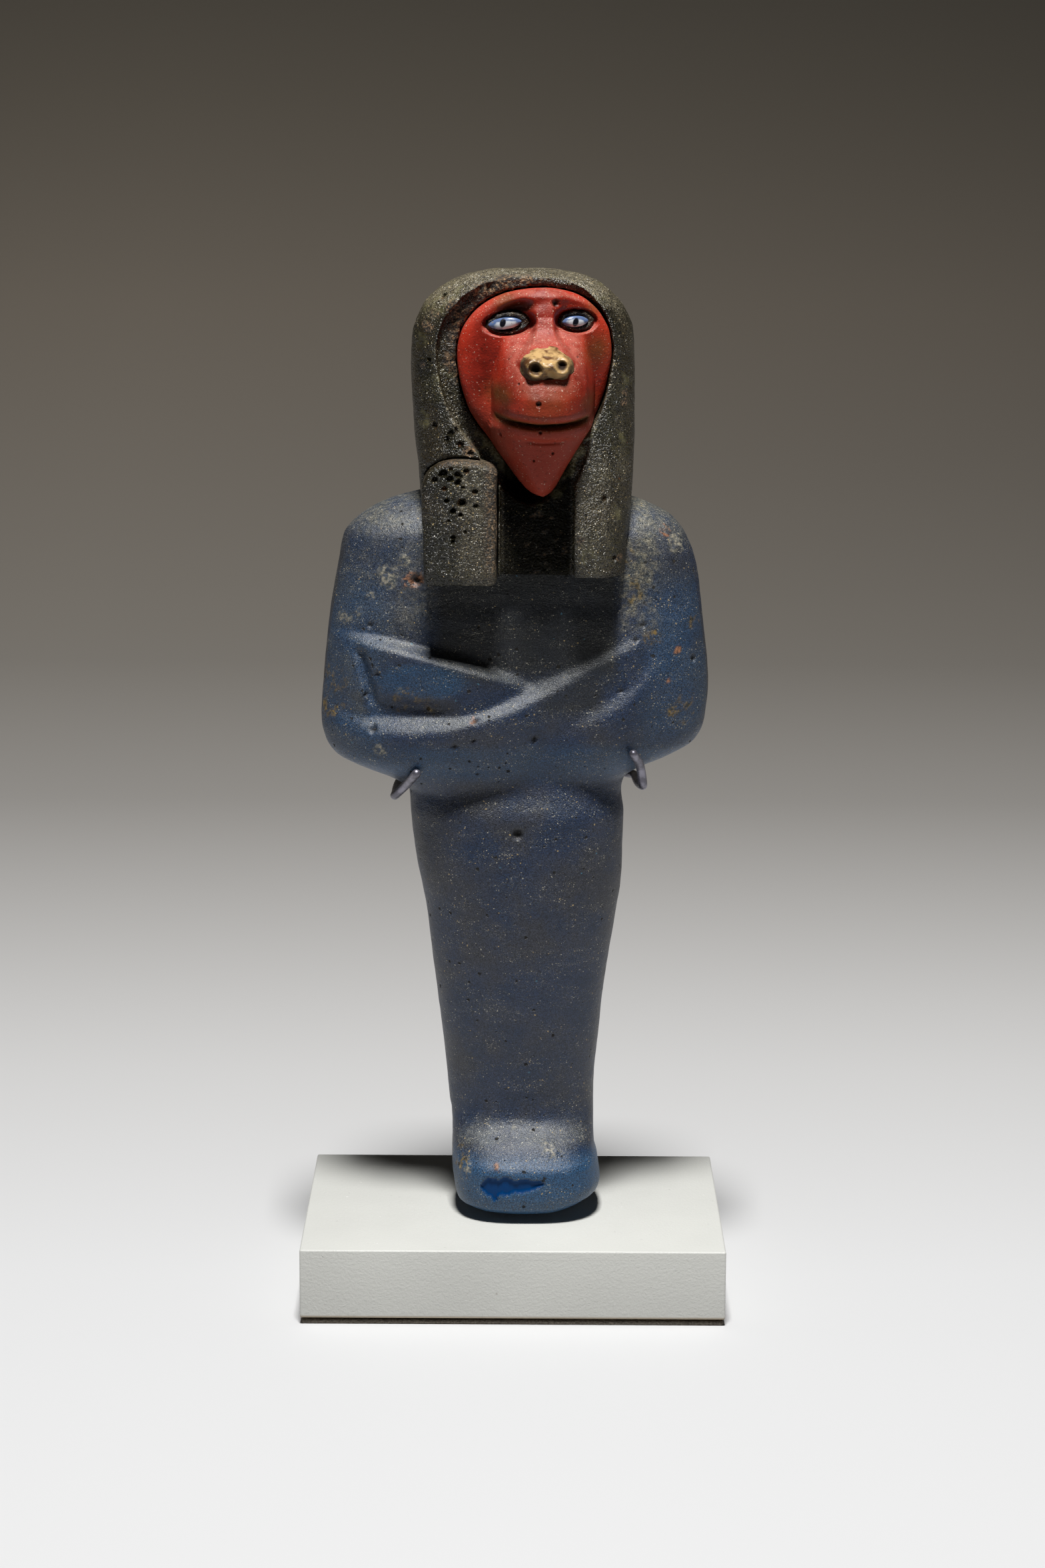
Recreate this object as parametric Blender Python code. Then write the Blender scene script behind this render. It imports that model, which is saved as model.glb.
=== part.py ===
"""Glass funerary figure with a baboon's face, held on a painted board by a metal cradle.

Metres, +Z up. The origin is the middle of the felt's underside, the figure faces -Y,
and +X is at the viewer's right. The figure's carving is given in modules: one module
is one eighty-fifth of its height, measured up from the lowest point of its sole.
"""
import bpy
import bmesh
import math
import numpy as np

# Display block
BLOCK_WIDTH = 0.0381
BLOCK_DEPTH = 0.0286
BLOCK_HEIGHT = 0.00635
BLOCK_EDGE_BEVEL = 0.00018
FELT_THICKNESS = 0.0004
FELT_INSET = 0.0001
GLUE_GAP = 0.0002

# Figure
FIGURE_HEIGHT = 0.085
SOLE_LIFT = 0.00095
SEAT_GAP = 0.0003
INLAY_GAP = 0.00015
FACE_BACK = 0.0022
EYE_SOCKET_DEPTH = 0.0011
EYE_PROUD = 0.0001
NOSE_SOCKET_DEPTH = 0.0014
NOSE_PROUD = 0.0006
NOSTRIL_RADIUS = 0.00045
NOSTRIL_DEPTH = 0.0006

# Cradle
PRONG_RADIUS = 0.0004
POST_RADIUS = 0.0008
POST_SET = 0.0040
POST_CLEARANCE = 0.0003
CRADLE_CLEARANCE = 0.0005

# Mesh density
BODY_SIDES = 46
FRONT_DENSITY = 0.35
WIG_SIDES = 32
FACE_SIDES = 40
FACE_RINGS = 15
TUBE_SIDES = 8
ROUND_SIDES = 20

MODULE = FIGURE_HEIGHT / 85
SOLE_HEIGHT = FELT_THICKNESS + GLUE_GAP + BLOCK_HEIGHT + SOLE_LIFT

# The body's outline: height, left side, right side, front and back, in modules
BODY = ((0.0, -4.4, 6.6, -6.4, 4.9), (0.5, -5.2, 7.4, -6.95, 5.7), (1.6, -5.5, 7.9, -7.2, 6.2),
        (3.5, -5.7, 7.8, -7.15, 6.5), (4.1, -5.7, 7.7, -6.95, 6.5), (4.8, -5.7, 7.5, -6.3, 6.5),
        (6.0, -5.7, 7.4, -5.15, 6.5), (6.7, -5.7, 7.4, -3.9, 6.5), (7.3, -5.75, 7.4, -3.1, 6.5),
        (8.4, -5.9, 7.4, -2.85, 6.6), (11.3, -6.2, 7.45, -3.2, 6.8), (16.5, -6.75, 7.9, -4.1, 7.1),
        (21.6, -7.4, 8.45, -4.8, 7.3), (26.6, -8.0, 9.25, -5.3, 7.6), (31.7, -9.0, 9.8, -5.6, 7.8),
        (36.0, -9.5, 9.85, -5.5, 7.8), (38.2, -9.7, 9.6, -4.9, 7.6), (39.4, -11.4, 9.9, -4.6, 7.5),
        (40.4, -13.8, 11.4, -4.5, 7.5), (41.6, -16.4, 14.2, -4.5, 7.5), (42.9, -17.3, 16.3, -4.5, 7.6),
        (44.6, -17.65, 17.1, -4.5, 7.7), (48.0, -17.5, 17.4, -4.4, 7.9), (54.0, -16.9, 16.9, -4.2, 8.2),
        (58.8, -16.1, 16.2, -4.0, 8.4), (61.3, -15.6, 15.3, -3.7, 8.4), (62.9, -14.2, 14.1, -3.1, 8.2),
        (64.1, -12.2, 12.0, -2.1, 7.5), (65.0, -9.4, 9.2, -0.8, 6.4), (65.7, -5.5, 5.6, 0.7, 4.8))
# How square the body's section is at each height: boxy foot, rounder legs, flat-fronted chest
BODY_SQUARENESS = ((0.0, 3.0), (6.0, 2.7), (14.0, 2.3), (34.0, 2.4), (42.0, 2.8), (60.0, 2.7), (65.7, 2.2))
CHIPPED_TOE_LIFT = 0.8

# The crossed arms: each has its edge's line across the body and how far it stands out
LOWER_ARM_LINE = ((-17.0, 45.0), (-12.8, 44.2), (-7.2, 44.5), (-1.6, 46.0), (2.2, 47.5), (8.7, 50.9),
                  (11.0, 52.0))
LOWER_ARM_STAND = ((-17.5, 0.3), (-13.0, 2.0), (-6.0, 2.9), (3.0, 2.9), (9.0, 1.9), (10.6, 1.3), (11.6, 0.0))
ELBOW_LINE = ((2.0, 43.0), (4.6, 44.0), (9.9, 46.3), (12.1, 48.1), (15.0, 50.5))
ELBOW_STAND = ((1.0, 0.0), (4.6, 1.5), (9.9, 2.1), (13.0, 1.6), (16.5, 0.3))
UPPER_ARM_LINE = ((-14.5, 52.2), (-7.0, 50.7), (-0.5, 48.9), (1.5, 47.8))
UPPER_ARM_STAND = ((-15.0, 0.0), (-13.9, 1.5), (-7.0, 2.1), (0.0, 2.2), (2.0, 1.5), (4.0, 0.0))
UPPER_ARM_FOOT = ((-14.0, 47.6), (-8.0, 46.8), (-3.0, 46.8))
ARM_SLOPE = 2.6
ARMS_BOTTOM = 38.0
ARMS_TOP = 56.0

# The wig's outline in the same columns
WIG = ((57.9, -7.6, 9.7, -7.4, 9.7), (58.7, -7.9, 9.8, -7.7, 10.0), (62.0, -8.3, 10.0, -7.7, 10.2),
       (66.5, -8.7, 10.3, -6.9, 10.4), (71.0, -9.2, 10.5, -5.9, 10.5), (76.0, -9.5, 10.5, -5.2, 10.4),
       (79.3, -9.4, 10.3, -5.1, 10.1), (81.6, -8.6, 9.5, -5.0, 9.5), (83.0, -7.4, 8.4, -4.6, 8.6),
       (84.0, -5.9, 7.1, -3.7, 7.4), (84.6, -4.4, 5.6, -2.4, 6.2), (85.0, -2.2, 3.0, -0.6, 4.4))
WIG_SQUARENESS = ((57.9, 4.2), (72.0, 3.4), (85.0, 2.3))

# Half the face's width against its way down from the brow to the chin, both ends round
FACE_OUTLINE = ((0.0, 0.0), (0.11, 3.2), (0.165, 4.45), (0.235, 5.7), (0.305, 6.5), (0.377, 6.8),
                (0.45, 6.55), (0.54, 5.85), (0.6, 5.0), (0.645, 4.1), (0.715, 3.0), (0.79, 2.05),
                (0.9, 0.95), (1.0, 0.0))
# The chin's point comes just below the top of the shoulders, in front of them
FACE_LENGTH = 18.0
FACE_CHIN = BODY[-1][0] - 0.1
FACE_TOP = FACE_CHIN + FACE_LENGTH
FACE_PLACE = (2.2, -3.0)
FACE_TURN = math.radians(2.5)
FACE_LEAN = -0.8
FACE_WIDEST = 0.58

# Heights on the face are shares of its length, up from the chin.
# Along its middle: height and how far it stands forward, in modules
FACE_PROFILE = ((0.0, 4.4), (0.055, 5.2), (0.28, 6.7), (0.35, 7.5), (0.39, 8.5), (0.5, 8.9), (0.63, 8.7),
                (0.7, 8.0), (0.755, 5.6), (0.81, 3.6), (0.88, 2.8), (0.94, 2.5), (1.0, 1.0))
# Half width of what stands forward: jaw, muzzle and bridge of the nose
MUZZLE_WIDTH = ((0.0, 2.0), (0.13, 3.2), (0.27, 4.3), (0.39, 4.3), (0.62, 4.2), (0.69, 3.6), (0.77, 2.0),
                (0.85, 1.3), (1.0, 3.0))
# Eyes: middle across the face, middle height, half width and half height of the rim
EYES = {"left": (-3.05, 0.836, 2.2, 1.2), "right": (2.87, 0.848, 1.8, 1.15)}
EYEBALL_SHARE = 0.74
# The nose pad in the same order, and its nostrils' places across it and height
NOSE = (0.0, 0.673, 2.3, 1.5)
NOSTRILS = (-1.0, 1.3)
MOUTH_HEIGHT = 0.372
BROW_HEIGHT = 0.94

# Throat between the lappets, and the lappet end that was broken off and put back
THROAT_SIDES = (-1.45, 5.0)
THROAT_FRONT = -5.4
THROAT_TOP = ((-4.3, 72.0), (-4.9, 77.0), (7.6, 77.0), (7.4, 73.0))
THROAT_SHOULDER = 66.8
LAPPET_END = (-8.35, -1.75, 57.9, 68.9)
LAPPET_END_FRONT = -8.3
LAPPET_END_BACK = -3.4
LAPPET_ARCH = 1.4

# The cradle's places on the body, across it and up: its two tips and where it rounds the sides
LEFT_TIP = (-8.7, 41.0)
LEFT_SIDE = (-10.0, 38.3)
RIGHT_TIP = (10.4, 42.7)
RIGHT_SIDE = (10.3, 39.3)


def clear_scene():
    for item in list(bpy.data.objects):
        bpy.data.objects.remove(item, do_unlink=True)


def paint(item, colour, roughness, metallic=0.0):
    material = bpy.data.materials.new(item.name + "_material")
    material.use_nodes = True
    shader = material.node_tree.nodes["Principled BSDF"]
    shader.inputs["Base Color"].default_value = (*colour, 1.0)
    shader.inputs["Roughness"].default_value = roughness
    shader.inputs["Metallic"].default_value = metallic
    material.diffuse_color = (*colour, 1.0)
    item.data.materials.append(material)


def smooth_curve(knots, at):
    """Value at each place in at, on a smooth curve through the knots that never overshoots."""
    place, value = np.array(knots, float).T
    slope = np.diff(value) / np.diff(place)
    same_way = slope[:-1] * slope[1:] > 0
    both = np.where(same_way, slope[:-1] + slope[1:], 1.0)
    inner = np.where(same_way, 2 * slope[:-1] * slope[1:] / both, 0.0)
    tangent = np.concatenate(([slope[0]], inner, [slope[-1]]))
    at = np.clip(np.asarray(at, float), place[0], place[-1])
    span = np.clip(np.searchsorted(place, at, side="right") - 1, 0, len(slope) - 1)
    width = place[span + 1] - place[span]
    t = (at - place[span]) / width
    rise = value[span + 1] - value[span]
    start = tangent[span] * width
    end = tangent[span + 1] * width
    return value[span] + t * (start + t * (3 * rise - 2 * start - end + t * (start + end - 2 * rise)))


def ease(t):
    t = np.clip(t, 0.0, 1.0)
    return t * t * (3 - 2 * t)


def mesh_object(name, points, faces):
    mesh = bpy.data.meshes.new(name)
    mesh.from_pydata([tuple(p) for p in points], [], faces)
    outward = bmesh.new()
    outward.from_mesh(mesh)
    bmesh.ops.recalc_face_normals(outward, faces=outward.faces[:])
    outward.to_mesh(mesh)
    outward.free()
    item = bpy.data.objects.new(name, mesh)
    bpy.context.scene.collection.objects.link(item)
    return item


def skin_rings(name, rings):
    """Closed solid through rings of equal length, each end filled round its middle."""
    count = len(rings)
    sides = len(rings[0])
    points = np.concatenate([*rings, [rings[0].mean(axis=0)], [rings[-1].mean(axis=0)]])
    bottom = count * sides
    top = bottom + 1
    faces = []
    for i in range(sides):
        j = (i + 1) % sides
        faces.append((bottom, j, i))
        faces.append((top, (count - 1) * sides + i, (count - 1) * sides + j))
        for k in range(count - 1):
            faces.append((k * sides + i, k * sides + j, (k + 1) * sides + j, (k + 1) * sides + i))
    return mesh_object(name, points, faces)


def boolean(item, cutter, operation="DIFFERENCE"):
    cut = item.modifiers.new(operation.title(), "BOOLEAN")
    cut.operation = operation
    cut.solver = "EXACT"
    cut.object = cutter
    cutter.hide_render = True
    cutter.display_type = "WIRE"


def figure_point(points):
    """From the figure's modules to metres on the block."""
    moved = np.asarray(points, float) * MODULE
    moved[..., 2] += SOLE_HEIGHT
    return moved


def ridge(x, z, line, height, above, below):
    """A forearm's edge: it falls away within above and below of the line it follows."""
    top = smooth_curve(line, x)
    tall = smooth_curve(height, x)
    up = np.clip(1 - (z - top) / above, 0, 1)
    down = np.clip(1 - (top - z) / below, 0, 1)
    return tall * np.where(z > top, up, down ** 0.8)


def blend_max(first, second, radius):
    """The larger of two heights, with a rounded valley between them."""
    overlap = np.clip(0.5 + 0.5 * (first - second) / radius, 0, 1)
    return second + (first - second) * overlap + radius * overlap * (1 - overlap)


def arm_relief(x, z):
    """How far the crossed arms stand out from the body's plain front, in modules."""
    lower = ridge(x, z, LOWER_ARM_LINE, LOWER_ARM_STAND, ARM_SLOPE, 7.0)
    elbow = ridge(x, z, ELBOW_LINE, ELBOW_STAND, ARM_SLOPE, 6.0)
    upper = ridge(x, z, UPPER_ARM_LINE, UPPER_ARM_STAND, 1.7, 14.0)
    upper = upper * ease((z - smooth_curve(UPPER_ARM_FOOT, x)) / 0.9)
    arms = blend_max(blend_max(lower, elbow, 0.35), upper, 0.3)
    reach = ease((z - ARMS_BOTTOM) / 4.0) * ease((ARMS_TOP - z) / 2.0)
    return arms * reach


def body_front(x, z):
    """The body's front in modules, at a place across it and a height."""
    left = smooth_curve([row[:2] for row in BODY], z)
    right = smooth_curve([(row[0], row[2]) for row in BODY], z)
    front = smooth_curve([(row[0], row[3]) for row in BODY], z)
    back = smooth_curve([(row[0], row[4]) for row in BODY], z)
    power = smooth_curve(BODY_SQUARENESS, z)
    across = np.clip(np.abs((x - (left + right) / 2) / ((right - left) / 2)), 0, 1)
    depth = (1 - across ** power) ** (1 / power)
    return (front + back) / 2 - (back - front) / 2 * depth - arm_relief(x, z) * depth


def body_ring(z, sides, grow=0.0):
    """One level of the body, grown outward by grow modules for what fits round it."""
    left, right, front, back = (smooth_curve([(row[0], row[i]) for row in BODY], z) for i in (1, 2, 3, 4))
    power = smooth_curve(BODY_SQUARENESS, z)
    turn = 2 * math.pi * np.arange(sides) / sides
    turn = turn - FRONT_DENSITY * np.cos(turn)
    across = np.sign(np.cos(turn)) * np.abs(np.cos(turn)) ** (2 / power)
    deep = np.sign(np.sin(turn)) * np.abs(np.sin(turn)) ** (2 / power)
    x = (left + right) / 2 + ((right - left) / 2 + grow) * across
    y = (front + back) / 2 + ((back - front) / 2 + grow) * deep
    y = y - np.where(deep < 0, -deep, 0) * arm_relief(x, z)
    chipped = CHIPPED_TOE_LIFT * ease((x - 2.5) / 5.5) * ease((6.0 - z) / 6.0) * ease((2.0 - y) / 6.0)
    return np.stack([x, y, z + chipped], axis=-1)


def body_levels():
    ends = [0.0, 0.25, 0.6, 1.1, 1.7, 2.6, 3.5, 4.2, 4.9, 5.6, 6.4, 7.4]
    middle = list(np.arange(10.0, 37.0, 2.7))
    arms = list(np.arange(38.0, 55.5, 0.95))
    chest = list(np.arange(57.0, 62.0, 1.6))
    top = [62.6, 63.6, 64.5, 65.3, 65.7]
    return ends + middle + arms + chest + top


def make_body():
    rings = [figure_point(body_ring(z, BODY_SIDES)) for z in body_levels()]
    body = skin_rings("figure_body", rings)
    paint(body, (0.035, 0.075, 0.16), 0.5)
    body.data.shade_smooth()
    return body


def body_room(name):
    """The body grown by the seat's gap, which cuts the seat of what sits on the shoulders."""
    gap = SEAT_GAP / MODULE
    levels = [z for z in body_levels() if z > 50.0]
    rings = [figure_point(body_ring(z, 26, gap)) for z in levels]
    rings.append(rings[-1] + np.array([0.0, 0.0, SEAT_GAP]))
    return skin_rings(name, rings)


def wig_ring(z, sides, proud=0.0):
    left, right, front, back = (smooth_curve([(row[0], row[i]) for row in WIG], z) for i in (1, 2, 3, 4))
    power = smooth_curve(WIG_SQUARENESS, z)
    turn = 2 * math.pi * np.arange(sides) / sides
    across = np.sign(np.cos(turn)) * np.abs(np.cos(turn)) ** (2 / power)
    deep = np.sign(np.sin(turn)) * np.abs(np.sin(turn)) ** (2 / power)
    x = (left + right) / 2 + ((right - left) / 2 + proud) * across
    y = (front + back) / 2 + ((back - front) / 2 + proud) * deep
    return np.stack([x, y, np.full(sides, z)], axis=-1)


def face_outline(sides, grow=0.0):
    """The face's outline across and up, in modules, grown outward by grow."""
    turn = 2 * np.arange(sides) / sides
    down = np.where(turn <= 1, turn, 2 - turn)
    side = np.where(turn <= 1, 1.0, -1.0)
    height = FACE_TOP + (FACE_CHIN - FACE_TOP) * (1 - np.cos(math.pi * down)) / 2
    across = side * smooth_curve(FACE_OUTLINE, down) + FACE_LEAN * np.sin(math.pi * down)
    outline = np.stack([across, height], axis=-1)
    along = np.roll(outline, -1, axis=0) - np.roll(outline, 1, axis=0)
    outward = np.stack([-along[:, 1], along[:, 0]], axis=-1)
    outward /= np.linalg.norm(outward, axis=1, keepdims=True)
    return outline + grow * outward


def face_height(share):
    return FACE_CHIN + share * FACE_LENGTH


def face_depth(u, z):
    """How far the face stands forward of its own plane, in modules."""
    down = np.arccos(np.clip(1 - 2 * (FACE_TOP - z) / (FACE_TOP - FACE_CHIN), -1, 1)) / math.pi
    wide = np.maximum(smooth_curve(FACE_OUTLINE, down), 0.3)
    out = np.clip(np.abs(u - FACE_LEAN * np.sin(math.pi * down)) / wide, 0, 1)
    cheek = 0.7 + 1.5 * (1 - out ** 2.4)
    share = (z - FACE_CHIN) / FACE_LENGTH
    middle = smooth_curve(FACE_PROFILE, share)
    half = smooth_curve(MUZZLE_WIDTH, share)
    block = 1 - ease((np.abs(u) / half - 0.62) / 0.62)
    hollow = 0.0
    for across, height, half_width, half_height in EYES.values():
        up = z - face_height(height)
        near = ((u - across) / (half_width * 1.15)) ** 2 + (up / (half_height * 1.2)) ** 2
        hollow = hollow + 0.45 * np.exp(-near ** 2)
    brow = 0.55 * np.exp(-((z - face_height(BROW_HEIGHT)) / 0.6) ** 2)
    brow = brow * np.exp(-(np.abs(np.abs(u) - 3.0) / 2.2) ** 2)
    mouth = 0.6 * np.exp(-((z - face_height(MOUTH_HEIGHT)) / 0.32) ** 2) * ease((4.3 - np.abs(u)) / 0.6)
    return cheek + np.maximum(middle - 2.2, 0) * block + brow - hollow - mouth


def face_point(across, forward, height):
    """From the face's own plane to metres: it is turned a little to the viewer's right."""
    x = FACE_PLACE[0] + across * math.cos(FACE_TURN) + forward * math.sin(FACE_TURN)
    y = FACE_PLACE[1] + across * math.sin(FACE_TURN) - forward * math.cos(FACE_TURN)
    return figure_point(np.stack(np.broadcast_arrays(x, y, height), axis=-1))


def face_prism(name, outline, near, far):
    """Prism of an outline in the face's plane, from near to far modules forward."""
    rings = [face_point(outline[:, 0], forward, outline[:, 1]) for forward in (near, far)]
    return skin_rings(name, rings)


def almond(across, height, half_width, half_height, grow, sides=ROUND_SIDES):
    """An eye's outline, drawn to a point at both corners, clockwise from the top."""
    turn = 2 * math.pi * np.arange(sides) / sides
    wide = np.sin(turn)
    tall = np.cos(turn) * (1 - 0.22 * wide ** 4)
    up = face_height(height) + (half_height + grow) * tall
    return np.stack([across + (half_width + grow) * wide, up], axis=-1)


def make_wig():
    foot = WIG[0][0] + 0.7
    crown = WIG[-1][0] - np.array([5.7, 4.4, 3.2, 2.2, 1.4, 0.8, 0.3, 0.0])
    levels = np.concatenate([np.arange(foot, crown[1], 2.4), crown])
    rings = [figure_point(wig_ring(z, WIG_SIDES)) for z in np.unique(np.round(levels, 2))]
    wig = skin_rings("wig", rings)
    paint(wig, (0.018, 0.017, 0.014), 0.3)

    gap = SEAT_GAP / MODULE
    deep = -FACE_BACK / MODULE - gap
    boolean(wig, body_room("wig_seat_cutter"))
    boolean(wig, face_prism("face_seat_cutter", face_outline(30, gap), deep, 30.0))

    left, right = THROAT_SIDES
    under = WIG[0][0] - 8.0
    throat = np.array([(left, under), (left, THROAT_SHOULDER), *THROAT_TOP, (right, THROAT_SHOULDER),
                       (right, under)])
    front = [np.stack([throat[:, 0], np.full(len(throat), y), throat[:, 1]], axis=-1)
             for y in (-30.0, THROAT_FRONT)]
    boolean(wig, skin_rings("throat_cutter", [figure_point(ring) for ring in front]))
    boolean(wig, lappet_block("lappet_end_cutter", gap, -30.0, LAPPET_END_BACK + gap, under))
    shade(wig)
    return wig


def lappet_block(name, grow, front, back, foot):
    """The broken lappet end as a block with an arched top, grown by grow modules."""
    left, right, bottom, top = LAPPET_END
    middle = (left + right) / 2
    half = (right - left) / 2 + grow
    turn = np.linspace(0, math.pi, 9)
    arch = [(middle + half * math.cos(a), top - LAPPET_ARCH + (LAPPET_ARCH + grow) * math.sin(a)) for a in turn]
    outline = np.array(arch + [(middle - half * 0.92, foot), (middle + half, foot)])
    rings = [np.stack([outline[:, 0], np.full(len(outline), y), outline[:, 1]], axis=-1)
             for y in (front, back)]
    return skin_rings(name, [figure_point(ring) for ring in rings])


def shade(item):
    item.data.shade_smooth()
    item.data.set_sharp_from_angle(angle=math.radians(40))


def make_lappet_end():
    end = lappet_block("wig_lappet_end", 0.0, LAPPET_END_FRONT, LAPPET_END_BACK, LAPPET_END[2])
    paint(end, (0.02, 0.019, 0.015), 0.35)
    rounding = end.modifiers.new("Rounding", "BEVEL")
    rounding.width = 0.5 * MODULE
    rounding.segments = 2
    rounding.limit_method = "ANGLE"
    rounding.angle_limit = math.radians(50)
    boolean(end, body_room("lappet_end_seat_cutter"))
    shade(end)
    return end


def make_face():
    outline = face_outline(FACE_SIDES)
    middle = np.array([0.0, face_height(FACE_WIDEST)])
    rings = []
    back = -FACE_BACK / MODULE
    rings.append(face_point(outline[:, 0], back, outline[:, 1]))
    for share in np.linspace(1.0, 0.06, FACE_RINGS):
        spot = middle + (outline - middle) * share
        rings.append(face_point(spot[:, 0], face_depth(spot[:, 0], spot[:, 1]), spot[:, 1]))
    face = skin_rings("face", rings)
    paint(face, (0.42, 0.045, 0.03), 0.4)

    gap = INLAY_GAP / MODULE
    for side, (across, height, half_width, half_height) in EYES.items():
        outline = almond(across, height, half_width, half_height, gap)
        floor = eye_floor(across, height) - gap
        boolean(face, face_prism("eye_socket_cutter_" + side, outline, floor, 30.0))
    outline = nose_outline(gap)
    boolean(face, face_prism("nose_seat_cutter", outline, nose_floor() - gap, 30.0))
    shade(face)
    return face


def eye_floor(across, height):
    return float(face_depth(np.array(across), face_height(height))) - EYE_SOCKET_DEPTH / MODULE


def nose_floor():
    across, height = NOSE[:2]
    return float(face_depth(np.array(across), face_height(height))) - NOSE_SOCKET_DEPTH / MODULE


def nose_outline(grow):
    """The nose pad, wider at the nostrils than at the bridge, clockwise from the top."""
    across, height, half_width, half_height = NOSE
    turn = 2 * math.pi * np.arange(ROUND_SIDES) / ROUND_SIDES
    wide = (half_width + grow) * np.sin(turn) * (1 - 0.14 * np.cos(turn))
    tall = (half_height + grow) * np.cos(turn)
    return np.stack([across + wide, face_height(height) + tall], axis=-1)


def dome(name, outline, floor, rim, crown):
    """Inlay with upright sides and a gently domed front, in the face's plane."""
    middle = outline.mean(axis=0)
    rings = [face_point(outline[:, 0], floor, outline[:, 1])]
    for share in (1.0, 0.82, 0.55, 0.2):
        spot = middle + (outline - middle) * share
        forward = rim + (crown - rim) * (1 - share ** 2)
        rings.append(face_point(spot[:, 0], forward, spot[:, 1]))
    return skin_rings(name, rings)


def make_eyes():
    gap = INLAY_GAP / MODULE
    proud = EYE_PROUD / MODULE
    for side, (across, height, half_width, half_height) in EYES.items():
        floor = eye_floor(across, height)
        surface = floor + EYE_SOCKET_DEPTH / MODULE
        rim = dome("eye_rim_" + side, almond(across, height, half_width, half_height, 0.0),
                   floor, surface - 0.1, surface + proud)
        paint(rim, (0.012, 0.012, 0.012), 0.25)
        ball_width = half_width * EYEBALL_SHARE
        ball_height = half_height * EYEBALL_SHARE * 0.86
        seat = almond(across, height, ball_width, ball_height, gap)
        boolean(rim, face_prism("eyeball_seat_cutter_" + side, seat, floor + 0.35 - gap, 30.0))
        ball = dome("eye_" + side, almond(across, height, ball_width, ball_height, 0.0),
                    floor + 0.35, surface, surface + 2 * proud)
        paint(ball, (0.5, 0.55, 0.7), 0.2)
        shade(rim)
        shade(ball)


def make_nose():
    across, height, half_width, half_height = NOSE
    floor = nose_floor()
    surface = floor + NOSE_SOCKET_DEPTH / MODULE
    nose = dome("snout", nose_outline(0.0), floor, surface - 0.5, surface + NOSE_PROUD / MODULE)
    paint(nose, (0.32, 0.2, 0.075), 0.45)
    for number, place in enumerate(NOSTRILS):
        turn = 2 * math.pi * np.arange(12) / 12
        radius = NOSTRIL_RADIUS / MODULE
        hole = np.stack([across + place + radius * np.sin(turn),
                         face_height(height) - 0.25 + radius * np.cos(turn)], axis=-1)
        deep = surface + (NOSE_PROUD - NOSTRIL_DEPTH) / MODULE
        boolean(nose, face_prism(f"nostril_cutter_{number}", hole, deep, 30.0))
    shade(nose)


def tube_rings(path, radius, sides):
    """Rings of a round rod along a path, without twist."""
    path = np.asarray(path, float)
    ahead = np.gradient(path, axis=0)
    ahead /= np.linalg.norm(ahead, axis=1, keepdims=True)
    side = np.cross(ahead[0], (0.0, 0.0, 1.0))
    if np.linalg.norm(side) < 0.1:
        side = np.cross(ahead[0], (1.0, 0.0, 0.0))
    rings = []
    turn = 2 * math.pi * np.arange(sides) / sides
    for place, forward in zip(path, ahead):
        side = side - forward * side.dot(forward)
        side /= np.linalg.norm(side)
        up = np.cross(forward, side)
        rings.append(place + radius * (np.outer(np.cos(turn), side) + np.outer(np.sin(turn), up)))
    return rings


def round_path(corners, count):
    """A smooth rod line through its corners."""
    corners = np.asarray(corners, float)
    length = np.concatenate([[0.0], np.cumsum(np.linalg.norm(np.diff(corners, axis=0), axis=1))])
    at = np.linspace(0.0, length[-1], count)
    return np.stack([smooth_curve(np.stack([length, corners[:, i]], axis=-1), at) for i in range(3)], axis=-1)


def cradle_corners():
    """Rod from the left prong's tip, under the left elbow, behind the waist, to the right tip."""
    room = (PRONG_RADIUS + CRADLE_CLEARANCE) / MODULE
    behind = max(row[4] for row in BODY if row[0] < 42.0) + room
    left_out = LEFT_SIDE[0] - room
    right_out = RIGHT_SIDE[0] + room
    left_level = LEFT_SIDE[1]
    right_level = RIGHT_SIDE[1]
    left_bend = (LEFT_TIP[0] - 1.0, LEFT_TIP[1] - 1.5)
    right_bend = (RIGHT_TIP[0] + 0.8, RIGHT_TIP[1] - 1.65)
    return [(LEFT_TIP[0], float(body_front(*LEFT_TIP)) - room, LEFT_TIP[1]),
            (left_bend[0], float(body_front(*left_bend)) - room - 0.1, left_bend[1]),
            (left_out, -2.2, left_level - 0.3),
            (left_out, 1.5, left_level - 0.6),
            (left_out + 0.2, behind - 2.2, left_level - 0.6),
            (left_out + 2.8, behind, left_level - 0.6),
            (0.5, behind, left_level - 0.4),
            (right_out - 2.8, behind, right_level - 1.1),
            (right_out - 0.2, behind - 2.2, right_level - 1.0),
            (right_out, 1.5, right_level - 0.7),
            (right_out + 0.3, -2.4, right_level - 0.2),
            (right_bend[0], float(body_front(*right_bend)) - room - 0.1, right_bend[1]),
            (RIGHT_TIP[0], float(body_front(*RIGHT_TIP)) - room, RIGHT_TIP[1])]


def post_place():
    """The post's middle: it meets the rod behind the waist."""
    corner = figure_point(np.array(cradle_corners()[6]))
    return corner[0], corner[1] + (POST_RADIUS - PRONG_RADIUS), corner[2]


def make_cradle():
    path = figure_point(round_path(cradle_corners(), 48))
    rod = skin_rings("mount_cradle", tube_rings(path, PRONG_RADIUS, TUBE_SIDES))
    paint(rod, (0.32, 0.31, 0.36), 0.4, 0.8)
    x, y, z = post_place()
    top = z + PRONG_RADIUS * 2
    bottom = FELT_THICKNESS + GLUE_GAP + BLOCK_HEIGHT - POST_SET
    post = skin_rings("post_joined", tube_rings([(x, y, bottom), (x, y, top)], POST_RADIUS, 16))
    boolean(rod, post, "UNION")
    shade(rod)


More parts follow.
